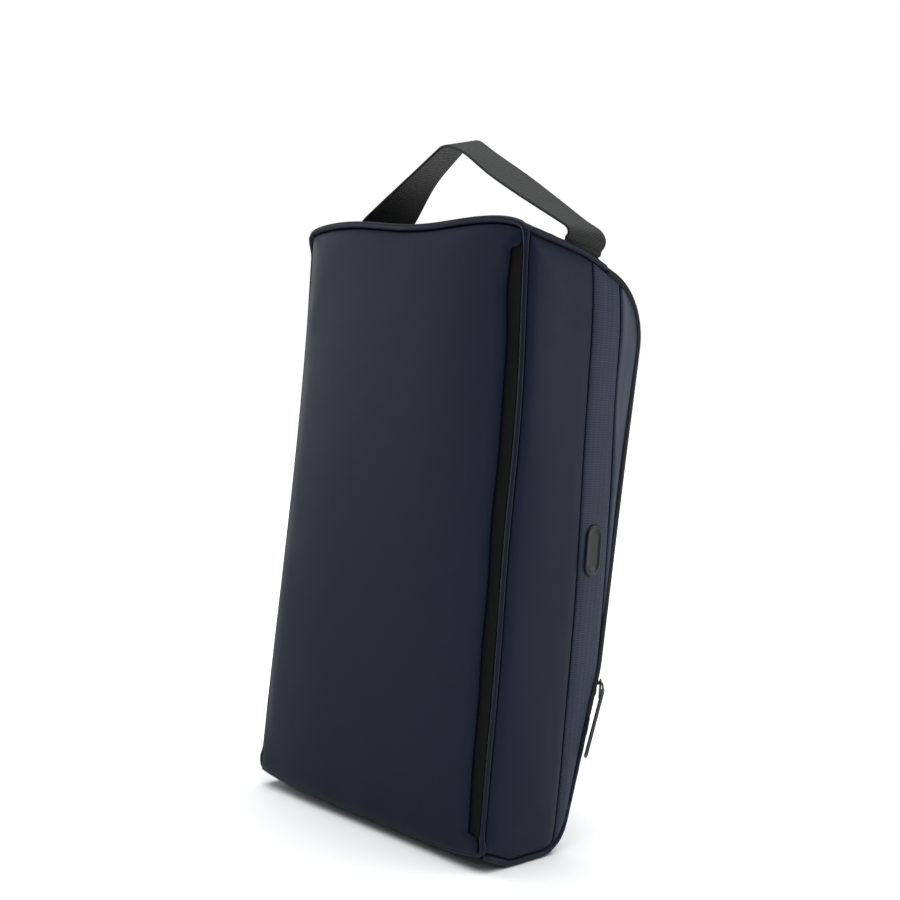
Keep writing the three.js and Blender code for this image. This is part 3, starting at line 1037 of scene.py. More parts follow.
class Row:
    """A Geometry Nodes tree that sets rounded bars along a line, for stitches and zip teeth."""

    SIZES = ("Pitch", "Along", "Across", "Out")

    def __init__(self) -> None:
        """Builds the tree."""
        tree = bpy.data.node_groups.new("row_of_bars", "GeometryNodeTree")
        tree.interface.new_socket("Geometry", in_out="INPUT", socket_type="NodeSocketGeometry")
        for name in self.SIZES:
            tree.interface.new_socket(name, in_out="INPUT", socket_type="NodeSocketFloat")
        tree.interface.new_socket("Material", in_out="INPUT", socket_type="NodeSocketMaterial")
        tree.interface.new_socket("Geometry", in_out="OUTPUT", socket_type="NodeSocketGeometry")
        given = add_node(tree, "NodeGroupInput").outputs
        line = add_node(tree, "GeometryNodeMeshToCurve", None, {"Mesh": given["Geometry"]})
        marks = add_node(tree, "GeometryNodeResampleCurve", {"mode": "LENGTH"},
                         {"Curve": line.outputs["Curve"], "Length": given["Pitch"]})
        facing = {}
        for name in ("row_across", "row_out"):
            node = add_node(tree, "GeometryNodeInputNamedAttribute", {"data_type": "FLOAT_VECTOR"},
                            {"Name": name})
            facing[name] = node.outputs["Attribute"]
        turn = add_node(tree, "FunctionNodeAxesToRotation", {"primary_axis": "Z", "secondary_axis": "X"},
                        {0: facing["row_out"], 1: facing["row_across"]})
        size = add_node(tree, "ShaderNodeCombineXYZ", None,
                        {"X": given["Across"], "Y": given["Along"], "Z": given["Out"]})
        block = add_node(tree, "GeometryNodeMeshCube", None, {"Size": size.outputs[0]})
        bar = add_node(tree, "GeometryNodeSubdivisionSurface", None,
                       {"Mesh": block.outputs["Mesh"], "Level": 1})
        placed = add_node(tree, "GeometryNodeInstanceOnPoints", None, {
            "Points": marks.outputs["Curve"], "Instance": bar.outputs["Mesh"],
            "Rotation": turn.outputs["Rotation"]})
        solid = add_node(tree, "GeometryNodeRealizeInstances", None,
                         {"Geometry": placed.outputs["Instances"]})
        soft = add_node(tree, "GeometryNodeSetShadeSmooth", None, {"Geometry": solid.outputs["Geometry"]})
        dressed = add_node(tree, "GeometryNodeSetMaterial", None,
                           {"Geometry": soft.outputs["Geometry"], "Material": given["Material"]})
        add_node(tree, "NodeGroupOutput", None, {"Geometry": dressed.outputs["Geometry"]})
        self.tree = tree

    def make(self, name: str, lines: Sequence[tuple[Array, Array, Array]], finish: Finish,
             sizes: dict[str, float]) -> bpy.types.Object:
        """Sets bars along lines and makes them one plain mesh.

        Args:
            name: The piece's name.
            lines: For each line its points, the directions across it and the directions outwards.
            finish: The bars' finish.
            sizes: The tree's sizes in millimetres, by input name.

        Returns:
            The new object.
        """
        points = np.vstack([line[0] for line in lines]) * MM
        edges, first = [], 0
        for line in lines:
            edges += [(first + i, first + i + 1) for i in range(len(line[0]) - 1)]
            first += len(line[0])
        mesh = bpy.data.meshes.new(name + "_line")
        mesh.from_pydata(points.tolist(), edges, [])
        for key, k in (("row_across", 1), ("row_out", 2)):
            values = np.vstack([np.broadcast_to(line[k], line[0].shape) for line in lines])
            layer = mesh.attributes.new(key, "FLOAT_VECTOR", "POINT")
            layer.data.foreach_set("vector", values.astype(np.float32).ravel())
        carrier = bpy.data.objects.new(name + "_line", mesh)
        bpy.context.scene.collection.objects.link(carrier)
        modifier = carrier.modifiers.new("row", "NODES")
        modifier.node_group = self.tree
        for item in self.tree.interface.items_tree:
            if item.in_out == "INPUT" and item.name in sizes:
                modifier[item.identifier] = sizes[item.name] * MM
            if item.in_out == "INPUT" and item.name == "Material":
                modifier[item.identifier] = finish.material()
        graph = bpy.context.evaluated_depsgraph_get()
        result = bpy.data.meshes.new_from_object(carrier.evaluated_get(graph))
        bpy.data.objects.remove(carrier)
        result.name = name
        piece = bpy.data.objects.new(name, result)
        bpy.context.scene.collection.objects.link(piece)
        return piece


STITCH = {"Pitch": 3.0, "Along": 2.9, "Across": 0.75, "Out": 0.6}
TOOTH = {"Pitch": 1.4, "Along": 1.15, "Across": 2.0, "Out": 1.7}


# Sub-assemblies

@dataclass
class Base:
    """The stiffened base: a slip pocket over foam, board and lining, framed by piping."""

    walls: Surfaces
    gap: float = 0.3
    panel: float = 2.2
    lining: float = 0.8
    foam: float = 1.4
    board: float = 1.5
    margin: float = 4.6
    overhang: float = 2.0
    mouth: float = 7.2
    mouth_end: float = 9.0
    seam: float = 4.3
    trim: float = 1.6
    slit_ease: float = 2
    lip_wave: float = 0.45
    lip_length: float = 90
    lip_bumps: tuple = ((0.9, 24, 12), (-0.7, 8, 8))
    lip_reach: float = 34
    lip_lift: float = 0.7
    lip_width: float = 5
    piping: float = 2.0
    piping_slim: float = 1.35
    piping_inset: float = 2.0
    piping_corner: float = 3.2
    piping_full: Span = (2, 14)
    piping_under: Span = (1, 9)
    piping_sunk: float = 2.0
    piping_sunk_left: float = 1.6
    piping_sunk_slim: float = 0.5
    piping_left: float = 8

    LIP_SEED = 3

    def build(self) -> None:
        """Makes and dresses every layer of the base, and its piping."""
        half = self.walls.pattern.half_width - self.seam
        self.pocket(half)
        start = self.panel + self.gap
        self.layer("pocket_backing", start, self.lining, half, 0, LINING_POLYESTER, "lining_black")
        start += self.lining + self.gap
        foam = self.layer("base_foam", start, self.foam, half, self.trim, CLOSED_CELL_FOAM, "foam_grey",
                          False)
        start += self.foam + self.gap
        self.layer("base_board", start, self.board, half, self.trim, POLYETHYLENE_SHEET, "board_black",
                   False)
        start += self.board + self.gap
        self.layer("base_lining", start, self.lining, half, self.trim, LINING_POLYESTER, "lining_black")
        self.edge()

    def heights(self, cloth: Cloth, extra: float) -> Array:
        """The heights of a layer's rows.

        Args:
            cloth: The layer's cloth.
            extra: How far it stops short of the outer cloth's edge.

        Returns:
            Heights from bottom to top.
        """
        low = self.walls.pattern.base_bottom + self.margin - self.overhang + extra
        high = self.walls.pattern.base_top - self.margin - extra
        return low + cloth.stations(high - low) * (high - low)

    def pocket(self, half: float) -> None:
        """Makes the outer panel, with the pocket's mouth cut in its right edge.

        Args:
            half: Half the panel's width.
        """
        cloth = Cloth(self.panel, roll=2.0, pull=0.9, step=2.6)
        z = self.heights(cloth, 0)[:, None]
        x = (-half + cloth.stations(2 * half) * 2 * half)[None, :]
        x, z = np.broadcast_arrays(x, z)
        low, high = z.min() + self.mouth_end, z.max() - self.mouth_end
        ease = self.slit_ease
        opened = smooth(z, low - ease, low + ease) * (1 - smooth(z, high - ease, high + ease))
        wave = self.lip_wave * ripple(z, self.lip_length, self.LIP_SEED)
        for size, below, width in self.lip_bumps:
            wave = wave + size * bump(z, high - below, width)
        cut = opened * (self.mouth + wave)
        x = x - cut * smooth(x, half - self.lip_reach, half)
        lift = self.lip_lift * opened * bump(x, half - self.mouth, self.lip_width)
        outer = self.walls.base(x, z, lift)
        piece = cloth.make("pocket_panel", outer, np.array([0, -1.0, 0]))
        dress(piece, COATED_POLYESTER, "shell", ["pocket_panel"])

    def layer(self, name: str, start: float, thickness: float, half: float, extra: float,
              finish: Finish, slot: str, woven: bool = True) -> bpy.types.Object:
        """Makes a flat layer behind the outer panel.

        Args:
            name: The layer's name, which is also its node's.
            start: How far behind the outer face it begins.
            thickness: Its thickness.
            half: Half its width.
            extra: How far it stops short of the outer cloth's edge.
            finish: Its finish.
            slot: The record's material slot; not used.
            woven: Whether it is cloth; not used.

        Returns:
            The piece.
        """
        cloth = Cloth(thickness, roll=thickness / 2, pull=0.0, step=6.0)
        z = self.heights(cloth, extra)[:, None]
        x = (-half + cloth.stations(2 * half) * 2 * half)[None, :]
        outer = self.walls.base(x, z, -start, soft=0.35)
        piece = cloth.make(name, outer, np.array([0, -1.0, 0]))
        dress(piece, finish, "shell", [name])
        return piece

    def edge(self) -> None:
        """Makes the piping round the base: full along the ends, drawn slim along the sides."""
        pattern = self.walls.pattern
        inset, corner = self.piping_inset, self.piping_corner
        half, low, high = pattern.half_width - inset, pattern.base_bottom + inset, pattern.base_top - inset
        path = []
        for cx, cz, first in ((half, low, -90), (half, high, 0), (-half, high, 90), (-half, low, 180)):
            angles = np.radians(first + np.linspace(0, 90, 7))
            centre = np.array([cx - math.copysign(corner, cx), cz + (corner if cz == low else -corner)])
            path.append(centre + corner * np.stack([np.cos(angles), np.sin(angles)], -1))
        path = np.vstack(path + [path[0][:1]])
        path = evenly(path, 360)[:-1]
        x, z = path[:, 0], path[:, 1]
        near, far = self.piping_full
        end = np.maximum(smooth(z, high - far, high - near), 1 - smooth(z, low + near, low + far))
        left = 1 - smooth(x, -half, -half + self.piping_left)
        under = 1 - smooth(z, low + self.piping_under[0], low + self.piping_under[1])
        y = np.full_like(x, -pattern.half_depth + self.piping_sunk) + self.overhang * under
        y = y + self.piping_sunk_left * left * (1 - end) + self.piping_sunk_slim * (1 - end)
        radius = self.piping_slim + (self.piping - self.piping_slim) * end
        points = self.walls.slouch(np.stack([x, y, z], -1))
        piece = tube("base_piping", points, radius, (0, 1, 0), closed=True)
        dress(piece, PIPING_CLOTH, "shell", ["base_piping"])


@dataclass
class Side:
    """One side panel: a rear strip, a ripstop strip and a front strip over a lining."""

    walls: Surfaces
    hand: int
    skin: float = 1.6
    inset: float = 3.8
    tuck: float = 2.8
    seam_gap: float = 0.6
    face_inset: float = 0.8
    lining: float = 0.8
    lining_inset: float = 2.7
    lining_trim: float = 0.6
    lining_drawn: Span = (100.0, 330.0)
    binding_start: float = 8.4
    binding_width: float = 5.0
    binding_inset: float = 3.8
    rear_seam: tuple = ((60.5, -2), (61.5, 120), (59.5, 220), (57, 365))
    front_seam: tuple = ((70, -2), (84, 50), (89, 92), (89.5, 150), (86.5, 230), (83.5, 300), (79, 365))

    @property
    def tag(self) -> str:
        """The side's name ending."""
        return "right" if self.hand > 0 else "left"

    def build(self) -> None:
        """Makes and dresses the three strips, the lining and the binding."""
        pattern = self.walls.pattern
        self.edge = pattern.loop(self.inset)
        rear, front = self.seam(self.rear_seam), self.seam(self.front_seam)
        self.strip("side_rear", self.back_line(), rear, COATED_POLYESTER)
        self.strip("side_ripstop", rear, front, RIPSTOP_POLYESTER)
        self.front_strip(front)
        self.inner()

    def seam(self, points: tuple) -> Array:
        """A seam from the outline's bottom to its top.

        Args:
            points: Depths and heights that the seam passes.

        Returns:
            Its points in (Y, Z), evenly spaced.
        """
        half_depth = self.walls.pattern.half_depth
        line = spline([(d - half_depth, z) for d, z in points], 200)
        start = self.edge.crossings(self.edge.points[:, 0] - line[0, 0])[0]
        end = self.edge.crossings(self.edge.points[:, 0] + half_depth - self.inset - 2)
        front = self.edge.at(np.linspace(start, end.max(), 900))
        z = np.linspace(front[0, 1], front[-1, 1], 900)
        drawn = np.interp(z, line[:, 1], line[:, 0])
        limit = np.interp(z, front[:, 1], front[:, 0])
        last = int(np.nonzero(drawn < limit)[0].max())
        return evenly(np.stack([np.minimum(drawn, limit), z], -1)[:last + 1], 300)

    def back_line(self) -> Array:
        """The rear strip's edge beside the base, from bottom to top."""
        depth = self.inset + 0.2 - self.walls.pattern.half_depth
        ends = self.edge.at(self.edge.crossings(self.edge.points[:, 0] - depth))
        z = np.linspace(ends[:, 1].min(), ends[:, 1].max(), 300)
        return np.stack([np.full_like(z, depth), z], -1)

    def between(self, start: Array, end: Array, share: Array) -> Array:
        """The outline's stretch between two of its points.

        Args:
            start: The stretch's first point.
            end: Its last point.
            share: Where to read it, from 0 to 1.

        Returns:
            Points in (Y, Z).
        """
        marks = [self.edge.reach[np.argmin(np.linalg.norm(self.edge.points - p, axis=1))]
                 for p in (start, end)]
        line = self.edge.at(marks[0] + (marks[1] - marks[0]) * share)
        return line + (start - line[0]) * (1 - share)[:, None] + (end - line[-1]) * share[:, None]

    def patch(self, left: Array, right: Array, cloth: Cloth) -> Array:
        """A grid in (Y, Z) between two seams and the outline.

        Args:
            left: The seam nearer the base.
            right: The seam nearer the front.
            cloth: The strip's cloth, which spaces the grid.

        Returns:
            Rows from bottom to top, columns from left to right.
        """
        width = float(np.max(np.linalg.norm(right - left, axis=1)))
        height = float(left[-1, 1] - left[0, 1])
        u, v = cloth.stations(width), cloth.stations(height)
        rows = np.linspace(0, 1, len(left))
        a = np.stack([np.interp(v, rows, left[:, k]) for k in (0, 1)], -1)
        b = np.stack([np.interp(v, rows, right[:, k]) for k in (0, 1)], -1)
        low = self.between(left[0], right[0], u)
        high = self.between(left[-1], right[-1], u)
        corner = ((1 - u)[None, :, None] * ((1 - v)[:, None, None] * a[0] + v[:, None, None] * a[-1])
                  + u[None, :, None] * ((1 - v)[:, None, None] * b[0] + v[:, None, None] * b[-1]))
        return ((1 - v)[:, None, None] * low[None] + v[:, None, None] * high[None]
                + (1 - u)[None, :, None] * a[:, None] + u[None, :, None] * b[:, None] - corner)

    def sew(self, name: str, grid: Array, finish: Finish, cloth: Cloth) -> None:
        """Makes a strip from its grid.

        Args:
            name: The strip's name without its side.
            grid: Its points in (Y, Z).
            finish: Its finish.
            cloth: Its cloth.
        """
        face = self.walls.pattern.half_width - self.face_inset
        outer = self.walls.side(self.hand, grid, face)
        piece = cloth.make(f"{name}_{self.tag}", outer, np.array([self.hand, 0.0, 0.0]))
        self.lay_level(piece)
        dress(piece, finish, "shell", [f"{name}_{self.tag}"])

    @staticmethod
    def lay_level(piece: bpy.types.Object) -> None:
        """Lays the cloth's own places level with the bag, so that ribs run straight across it."""
        mesh = piece.data
        layer = mesh.uv_layers["cloth"]
        for loop in mesh.loops:
            point = mesh.vertices[loop.vertex_index].co
            layer.data[loop.index].uv = (point.y, point.z)

    def strip(self, name: str, left: Array, right: Array, finish: Finish) -> None:
        """Makes a strip between two seams."""
        cloth = Cloth(self.skin, roll=1.5, pull=0.7, step=3.0)
        gap = np.array([self.seam_gap, 0.0])
        left = left + gap * (name == "side_ripstop")
        self.sew(name, self.patch(left, right - gap, cloth), finish, cloth)

    def front_strip(self, seam: Array) -> None:
        """Makes the front strip, which is pinched at both ends where its seam meets the outline.

        Args:
            seam: The seam beside the ripstop.
        """
        cloth = Cloth(self.skin, roll=1.5, pull=0.7, step=3.0)
        limit = np.array([self.edge.at(self.edge.crossings(self.edge.points[:, 1] - z))[0, 0]
                          for z in seam[2:-2, 1]])
        seam = seam[2:-2][limit - seam[2:-2, 0] > self.skin]
        marks = [self.edge.crossings(self.edge.points[:, 1] - seam[k, 1]) for k in (0, -1)]
        share = np.linspace(0, 1, 300)
        front = self.edge.at(marks[0][0] + (marks[1][0] - marks[0][0]) * share)
        width = float(np.max(front[:, 0] - seam[:, 0].mean()))
        u, v = cloth.stations(width), cloth.stations(float(seam[-1, 1] - seam[0, 1]))
        rows = np.linspace(0, 1, len(seam))
        a = np.stack([np.interp(v, rows, seam[:, k]) for k in (0, 1)], -1)
        b = np.stack([np.interp(v, share, front[:, k]) for k in (0, 1)], -1)
        a = a + np.array([self.seam_gap, 0.0])
        grid = a[:, None] * (1 - u)[None, :, None] + b[:, None] * u[None, :, None]
        # The front strip wears the coated cloth in its paler colour, a painted highlight, not a different
        # dye.
        self.sew("side_front", grid, PAINTED_HIGHLIGHT_POLYESTER, cloth)

    def inner(self) -> None:
        """Makes the lining and the binding over the inner seam."""
        pattern = self.walls.pattern
        half = pattern.half_width
        rim = pattern.loop(self.tuck)
        cloth = Cloth(self.lining, roll=self.lining / 2, pull=0.0, step=5.0)
        shares, rows = (cloth.stations(size) for size in self.lining_drawn)
        # Each row of the lining runs level from the base to the outline's front.
        span = rim.points[:, 1].min() + self.lining_trim, rim.points[:, 1].max() - self.lining_trim
        heights = span[0] + rows * (span[1] - span[0])
        grid = np.zeros((len(rows), len(shares), 2))
        for i, z in enumerate(heights):
            ends = rim.at(rim.crossings(rim.points[:, 1] - z))[:, 0]
            grid[i, :, 0] = ends.min() + shares * (ends.max() - ends.min())
            grid[i, :, 1] = z
        outer = self.walls.side(self.hand, grid, half - self.lining_inset)
        piece = cloth.make(f"side_lining_{self.tag}", outer, np.array([self.hand, 0.0, 0.0]))
        dress(piece, LINING_POLYESTER, "shell", [f"side_lining_{self.tag}"])
        band = Cloth(self.lining, roll=self.lining / 2, pull=0.0, step=2.5)
        across = band.stations(self.binding_width)
        lines = [pattern.loop(self.binding_start + self.binding_width * share) for share in across]
        around = np.linspace(0, 1, 260, endpoint=False)
        ring = np.stack([line.at(around * line.length) for line in lines], 1)
        outer = self.walls.side(self.hand, ring, half - self.binding_inset)
        piece = band.make(f"seam_binding_{self.tag}", outer, np.array([self.hand, 0.0, 0.0]), closed=True)
        dress(piece, TAPE_POLYESTER, "shell", [f"seam_binding_{self.tag}"])


@dataclass
class Ends:
    """The top end, the bottom end with the lower front, and the piping along the side seams."""

    walls: Surfaces
    skin: float = 1.6
    lining: float = 0.8
    gap: float = 0.3
    corridor: float = 4.6
    crossing: float = 72.2
    flap_bottom: float = 100.0
    zip_end: float = 78.0
    seam: float = 4.3
    inner_corridor: float = 8.8
    cord_corridor: float = 3.0
    overlap: float = 2
    cord_inset: float = 2.0
    cord_step: float = 2.5
    cord_uneven: float = 0.03
    cord_length: float = 9
    radius: float = 2.1

    CORD_SEED = 7

    def build(self) -> None:
        """Makes and dresses the end panels, their linings and the side piping."""
        walls = self.walls
        top = walls.top_distance(self.corridor), walls.top_distance(self.crossing)
        low = walls.bottom_distance(self.corridor), walls.front_distance(self.flap_bottom - self.gap)
        inner_top = walls.top_distance(self.inner_corridor)
        inner_low = walls.bottom_distance(self.inner_corridor)
        self.panel("top_end_panel", "top_end_lining", (top[1], top[0]), (top[1], inner_top))
        self.panel("lower_wrap_panel", "lower_wrap_lining", low, (inner_low, low[1]))
        for hand, tag in ((1, "right"), (-1, "left")):
            self.cord(f"side_piping_top_{tag}", hand, top[1] - self.overlap,
                      walls.top_distance(self.cord_corridor))
            self.cord(f"side_piping_bottom_{tag}", hand, walls.bottom_distance(self.cord_corridor),
                      walls.front_distance(self.zip_end + self.overlap))

    def panel(self, name: str, lining: str, span: tuple, inner: tuple) -> None:
        """Makes an end panel and its lining.

        Args:
            name: The panel's name.
            lining: The lining's name.
            span: Where the panel starts and ends along the outline.
            inner: Where the lining starts and ends.
        """
        half = self.walls.pattern.half_width - self.seam
        for piece_name, (start, end), lift, cloth, finish, slot in (
                (name, span, 0.0, Cloth(self.skin, roll=1.5, pull=0.6), COATED_POLYESTER, "coated_navy"),
                (lining, inner, -self.skin - self.gap, Cloth(self.lining, roll=0.4, pull=0.0, step=5.0),
                 LINING_POLYESTER, "lining_black")):
            along = start + cloth.stations(end - start) * (end - start)
            x = -half + cloth.stations(2 * half) * 2 * half
            x, along = np.broadcast_arrays(x[None, :], along[:, None])
            outer = self.walls.wrap(x, along, lift)
            piece = cloth.make(piece_name, outer, self.walls.wrap_outward(along))
            dress(piece, finish, "shell", [piece_name])

    def cord(self, name: str, hand: int, start: float, end: float) -> None:
        """Makes a run of side piping.

        Args:
            name: The run's name.
            hand: 1 on the right, -1 on the left.
            start: Where it starts along the outline.
            end: Where it ends.
        """
        along = np.linspace(start, end, int(abs(end - start) / self.cord_step) + 2)
        x = np.full_like(along, hand * (self.walls.pattern.half_width - self.cord_inset))
        path = self.walls.wrap(x, along, -self.radius)
        uneven = self.cord_uneven * ripple(along, self.cord_length, self.CORD_SEED)
        piece = tube(name, path, self.radius * (1 + uneven), (1, 0, 0))
        dress(piece, PIPING_CLOTH, "shell", [name])


@dataclass
class Flap:
    """The front flap and its lining, built in place with their lower edge along the hinge."""

    walls: Surfaces
    half: float = 86.6
    top_depth: float = 83.8
    bottom: float = 100.3
    skin: float = 1.6
    lining: float = 0.8
    gap: float = 0.3
    fold: float = 9.0
    fold_below: float = 1.0
    wave: float = 0.5
    wave_length: float = 110
    wave_slant: float = 0.4
    wave_rise: Span = (10, 60)

    WAVE_SEED = 31

    @property
    def bend(self) -> tuple[Vector, Vector]:
        """Where the flap's cloth starts and stops bending at its hinge."""
        joint = next(j for j in frame["joints"] if j["name"] == "flap_hinge")
        low = Vector(joint["pos_m"])
        return low + Vector((0, 0, -self.fold_below * MM)), low + Vector((0, 0, self.fold * MM))

    def build(self) -> None:
        """Makes and dresses the flap's panel and lining."""
        start, end = self.walls.front_distance(self.bottom), self.walls.top_distance(self.top_depth)
        for name, lift, cloth, finish, slot in (
                ("flap_panel", 0.0, Cloth(self.skin, roll=1.5, pull=0.5, step=2.6),
                 COATED_POLYESTER, "coated_navy"),
                ("flap_lining", -self.skin - self.gap, Cloth(self.lining, roll=0.4, pull=0.0, step=3.0),
                 LINING_POLYESTER, "lining_black")):
            along = start + cloth.stations(end - start) * (end - start)
            x = -self.half + cloth.stations(2 * self.half) * 2 * self.half
            x, along = np.broadcast_arrays(x[None, :], along[:, None])
            waves = self.wave * ripple(along + self.wave_slant * x, self.wave_length, self.WAVE_SEED)
            waves = waves * smooth(along, start + self.wave_rise[0], start + self.wave_rise[1])
            outer = self.walls.wrap(x, along, lift + waves * (1 - (x / self.half) ** 6))
            piece = cloth.make(name, outer, self.walls.wrap_outward(along))
            dress(piece, finish, ("shell", "flap"), [name], self.bend)


@dataclass
class Zip:
    """The U-shaped coil zip: two tapes, two coils and end stops."""

    walls: Surfaces
    rows: Row
    flap: Flap
    chain_half: float = 91.15
    chain_depth: float = 77.75
    corner: float = 8.0
    half_gap: float = 0.15
    coil: float = 1.2
    sink: float = 0.9
    tape: float = 0.8
    bottom: float = 78.0
    stop: float = 3.8
    stop_radius: float = 1.05
    clear: float = 0.1
    shell_width: float = 1.4
    shell_width_top: float = 4.0
    flap_width: float = 3.2
    flap_width_top: float = 5.6
    flange_depth: float = 70.5
    flange: tuple = ((92.9, -0.2), (94.3, -0.9), (95.1, -2.6), (95.2, -4.2), (94.6, -5.6))

    def run(self, offset: float, radius: float, low: float, spacing: float = 2.5) -> Array:
        """A U-shaped line on the wrap, parallel to the chain.

        Args:
            offset: How far outside the chain's middle it runs, below zero on the flap.
            radius: The rounding of its two corners.
            low: The height at which its ends lie.
            spacing: The distance between its points.

        Returns:
            Places across the bag and along the outline, from the right end to the left one.
        """
        half = self.chain_half + offset
        top = self.walls.top_distance(self.chain_depth - offset)
        low = self.walls.front_distance(low)
        upright = int((self.walls.top_distance(self.chain_depth) - low) / spacing)
        rise = np.linspace(low, top - radius, upright)
        angles = np.linspace(0, math.pi / 2, 9)[1:]
        arc = np.stack([half - radius + radius * np.cos(angles), top - radius + radius * np.sin(angles)], -1)
        over = np.linspace(half - radius, 0, int(self.chain_half / spacing))[1:]
        right = np.vstack([np.stack([np.full_like(rise, half), rise], -1), arc,
                           np.stack([over, np.full_like(over, top)], -1)])
        left = right[-2::-1] * np.array([-1, 1])
        return np.vstack([right, left])

    def band(self, name: str, inner: Array, outer: Array) -> bpy.types.Object:
        """Makes a flat strip of tape between two lines.

        Args:
            name: The strip's name.
            inner: The line nearer the chain.
            outer: The other line, with as many points.

        Returns:
            The strip.
        """
        cloth = Cloth(self.tape, roll=0.4, pull=0.0)
        share = cloth.stations(float(np.linalg.norm(outer[0] - inner[0])))
        place = inner[:, None] * (1 - share)[None, :, None] + outer[:, None] * share[None, :, None]
        face = self.walls.wrap(place[..., 0], place[..., 1], -self.sink + self.tape / 2)
        return cloth.make(name, face, self.walls.wrap_outward(place[..., 1]))

    def build(self) -> None:
        """Makes and dresses the tapes, coils and stops."""
        self.shell_tape()
        self.flap_tape()
        self.coils()
        self.stops()

    def shell_tape(self) -> None:
        """Makes the tape sewn to the shell: a flat U and a flange rolled over each side's edge."""
        start = self.half_gap + self.coil + self.clear
        inner = self.run(start, self.corner + start, self.bottom)
        outer = self.run(start + self.shell_width, 3.0, self.bottom)
        crossing = self.run(start + self.shell_width_top, 1.0, self.bottom)
        outer[:, 1] = np.where(np.abs(outer[:, 0]) < self.chain_half - 2, crossing[:, 1], outer[:, 1])
        parts = [self.band("zip_tape_shell", inner, outer)]
        cloth = Cloth(self.tape, roll=0.4, pull=0.0)
        low, high = self.walls.front_distance(self.bottom - 2), self.walls.top_distance(self.flange_depth)
        along = np.linspace(low, high, int((high - low) / 2.5))
        roll = spline(self.flange, 9)
        for hand in (1, -1):
            x = np.broadcast_to(hand * roll[None, :, 0], (len(along), len(roll)))
            face = self.walls.wrap(x, np.broadcast_to(along[:, None], x.shape), roll[None, :, 1])
            outward = self.walls.wrap_outward(along)[:, None] + np.array([hand * 1.0, 0, 0])
            parts.append(cloth.make(f"flange_{hand}", face, outward))
        piece = join("zip_tape_shell", parts)
        dress(piece, TAPE_POLYESTER, "shell", ["zip_tape_shell"])

    def flap_tape(self) -> None:
        """Makes the tape sewn to the flap."""
        start = -self.half_gap - self.coil - self.clear
        near = self.run(start, self.corner + start, self.flap.bottom)
        far = self.run(start - self.flap_width, 1.2, self.flap.bottom)
        crossing = self.run(start - self.flap_width_top, 1.2, self.flap.bottom)
        far[:, 1] = np.where(np.abs(far[:, 0]) < self.flap.half - 1, crossing[:, 1], far[:, 1])
        piece = self.band("zip_tape_flap", near, far)
        dress(piece, TAPE_POLYESTER, ("shell", "flap"), ["zip_tape_flap"], self.flap.bend)

    def coils(self) -> None:
        """Makes the two rows of coil teeth."""
        for name, side, low, body in (("zip_coil_shell", 1, self.bottom + self.stop, "shell"),
                                      ("zip_coil_flap", -1, self.flap.bottom + 0.4, "flap")):
            offset = side * (self.half_gap + self.coil / 2)
            line = self.run(offset, self.corner + offset, low, 1.2)
            points = self.walls.wrap(line[:, 0], line[:, 1], -self.sink)
            ahead = unit(np.gradient(points, axis=0))
            outward = self.walls.wrap_outward(line[:, 1])
            across = unit(np.cross(ahead, outward))
            piece = self.rows.make(name, [(points, across, outward)], COIL_NYLON, TOOTH)
            dress(piece, COIL_NYLON, body, [name])

    def stops(self) -> None:
        """Makes the two moulded stops at the zip's lower ends."""
        for hand, tag in ((1, "right"), (-1, "left")):
            low = self.walls.front_distance(self.bottom)
            along = low + np.linspace(0, self.stop - 0.3, 7)
            x = np.full_like(along, hand * (self.chain_half + self.half_gap + self.coil / 2))
            path = self.walls.wrap(x, along, -self.sink)
            piece = tube(f"zip_end_stop_{tag}", path, self.stop_radius, (1, 0, 0), flatten=1.15)
            dress(piece, MOULDED_RUBBER, "shell", [f"zip_end_stop_{tag}"])


@dataclass
class Stitching:
    """The lockstitch rows that hold the zip's tapes to the flap and the top end."""

    walls: Surfaces
    rows: Row
    chain: Zip
    flap_inset: float = 8.6
    top_inset: float = 9.0
    end_inset: float = 9
    start: float = 2
    corner: float = 3.0
    above: float = 0.15

    def build(self) -> None:
        """Makes and dresses one row on the flap, beside its tape, and one on the top end."""
        line = self.chain.run(-self.flap_inset, self.corner, self.chain.flap.bottom + self.start)
        self.row("flap_stitch", line, "flap")
        across = np.linspace(-1, 1, 80) * (self.chain.chain_half - self.end_inset)
        along = np.full_like(across, self.walls.top_distance(self.chain.chain_depth - self.top_inset))
        self.row("top_stitch", np.stack([across, along], -1), "shell")

    def row(self, name: str, line: Array, body: str) -> None:
        """Makes one row of stitches.

        Args:
            name: The row's name.
            line: Places across the bag and along the outline.
            body: The body that it rides on.
        """
        points = self.walls.wrap(line[:, 0], line[:, 1], self.above)
        ahead = unit(np.gradient(points, axis=0))
        outward = self.walls.wrap_outward(line[:, 1])
        piece = self.rows.make(name, [(points, unit(np.cross(ahead, outward)), outward)],
                               SEWING_THREAD, STITCH)
        dress(piece, SEWING_THREAD, body)


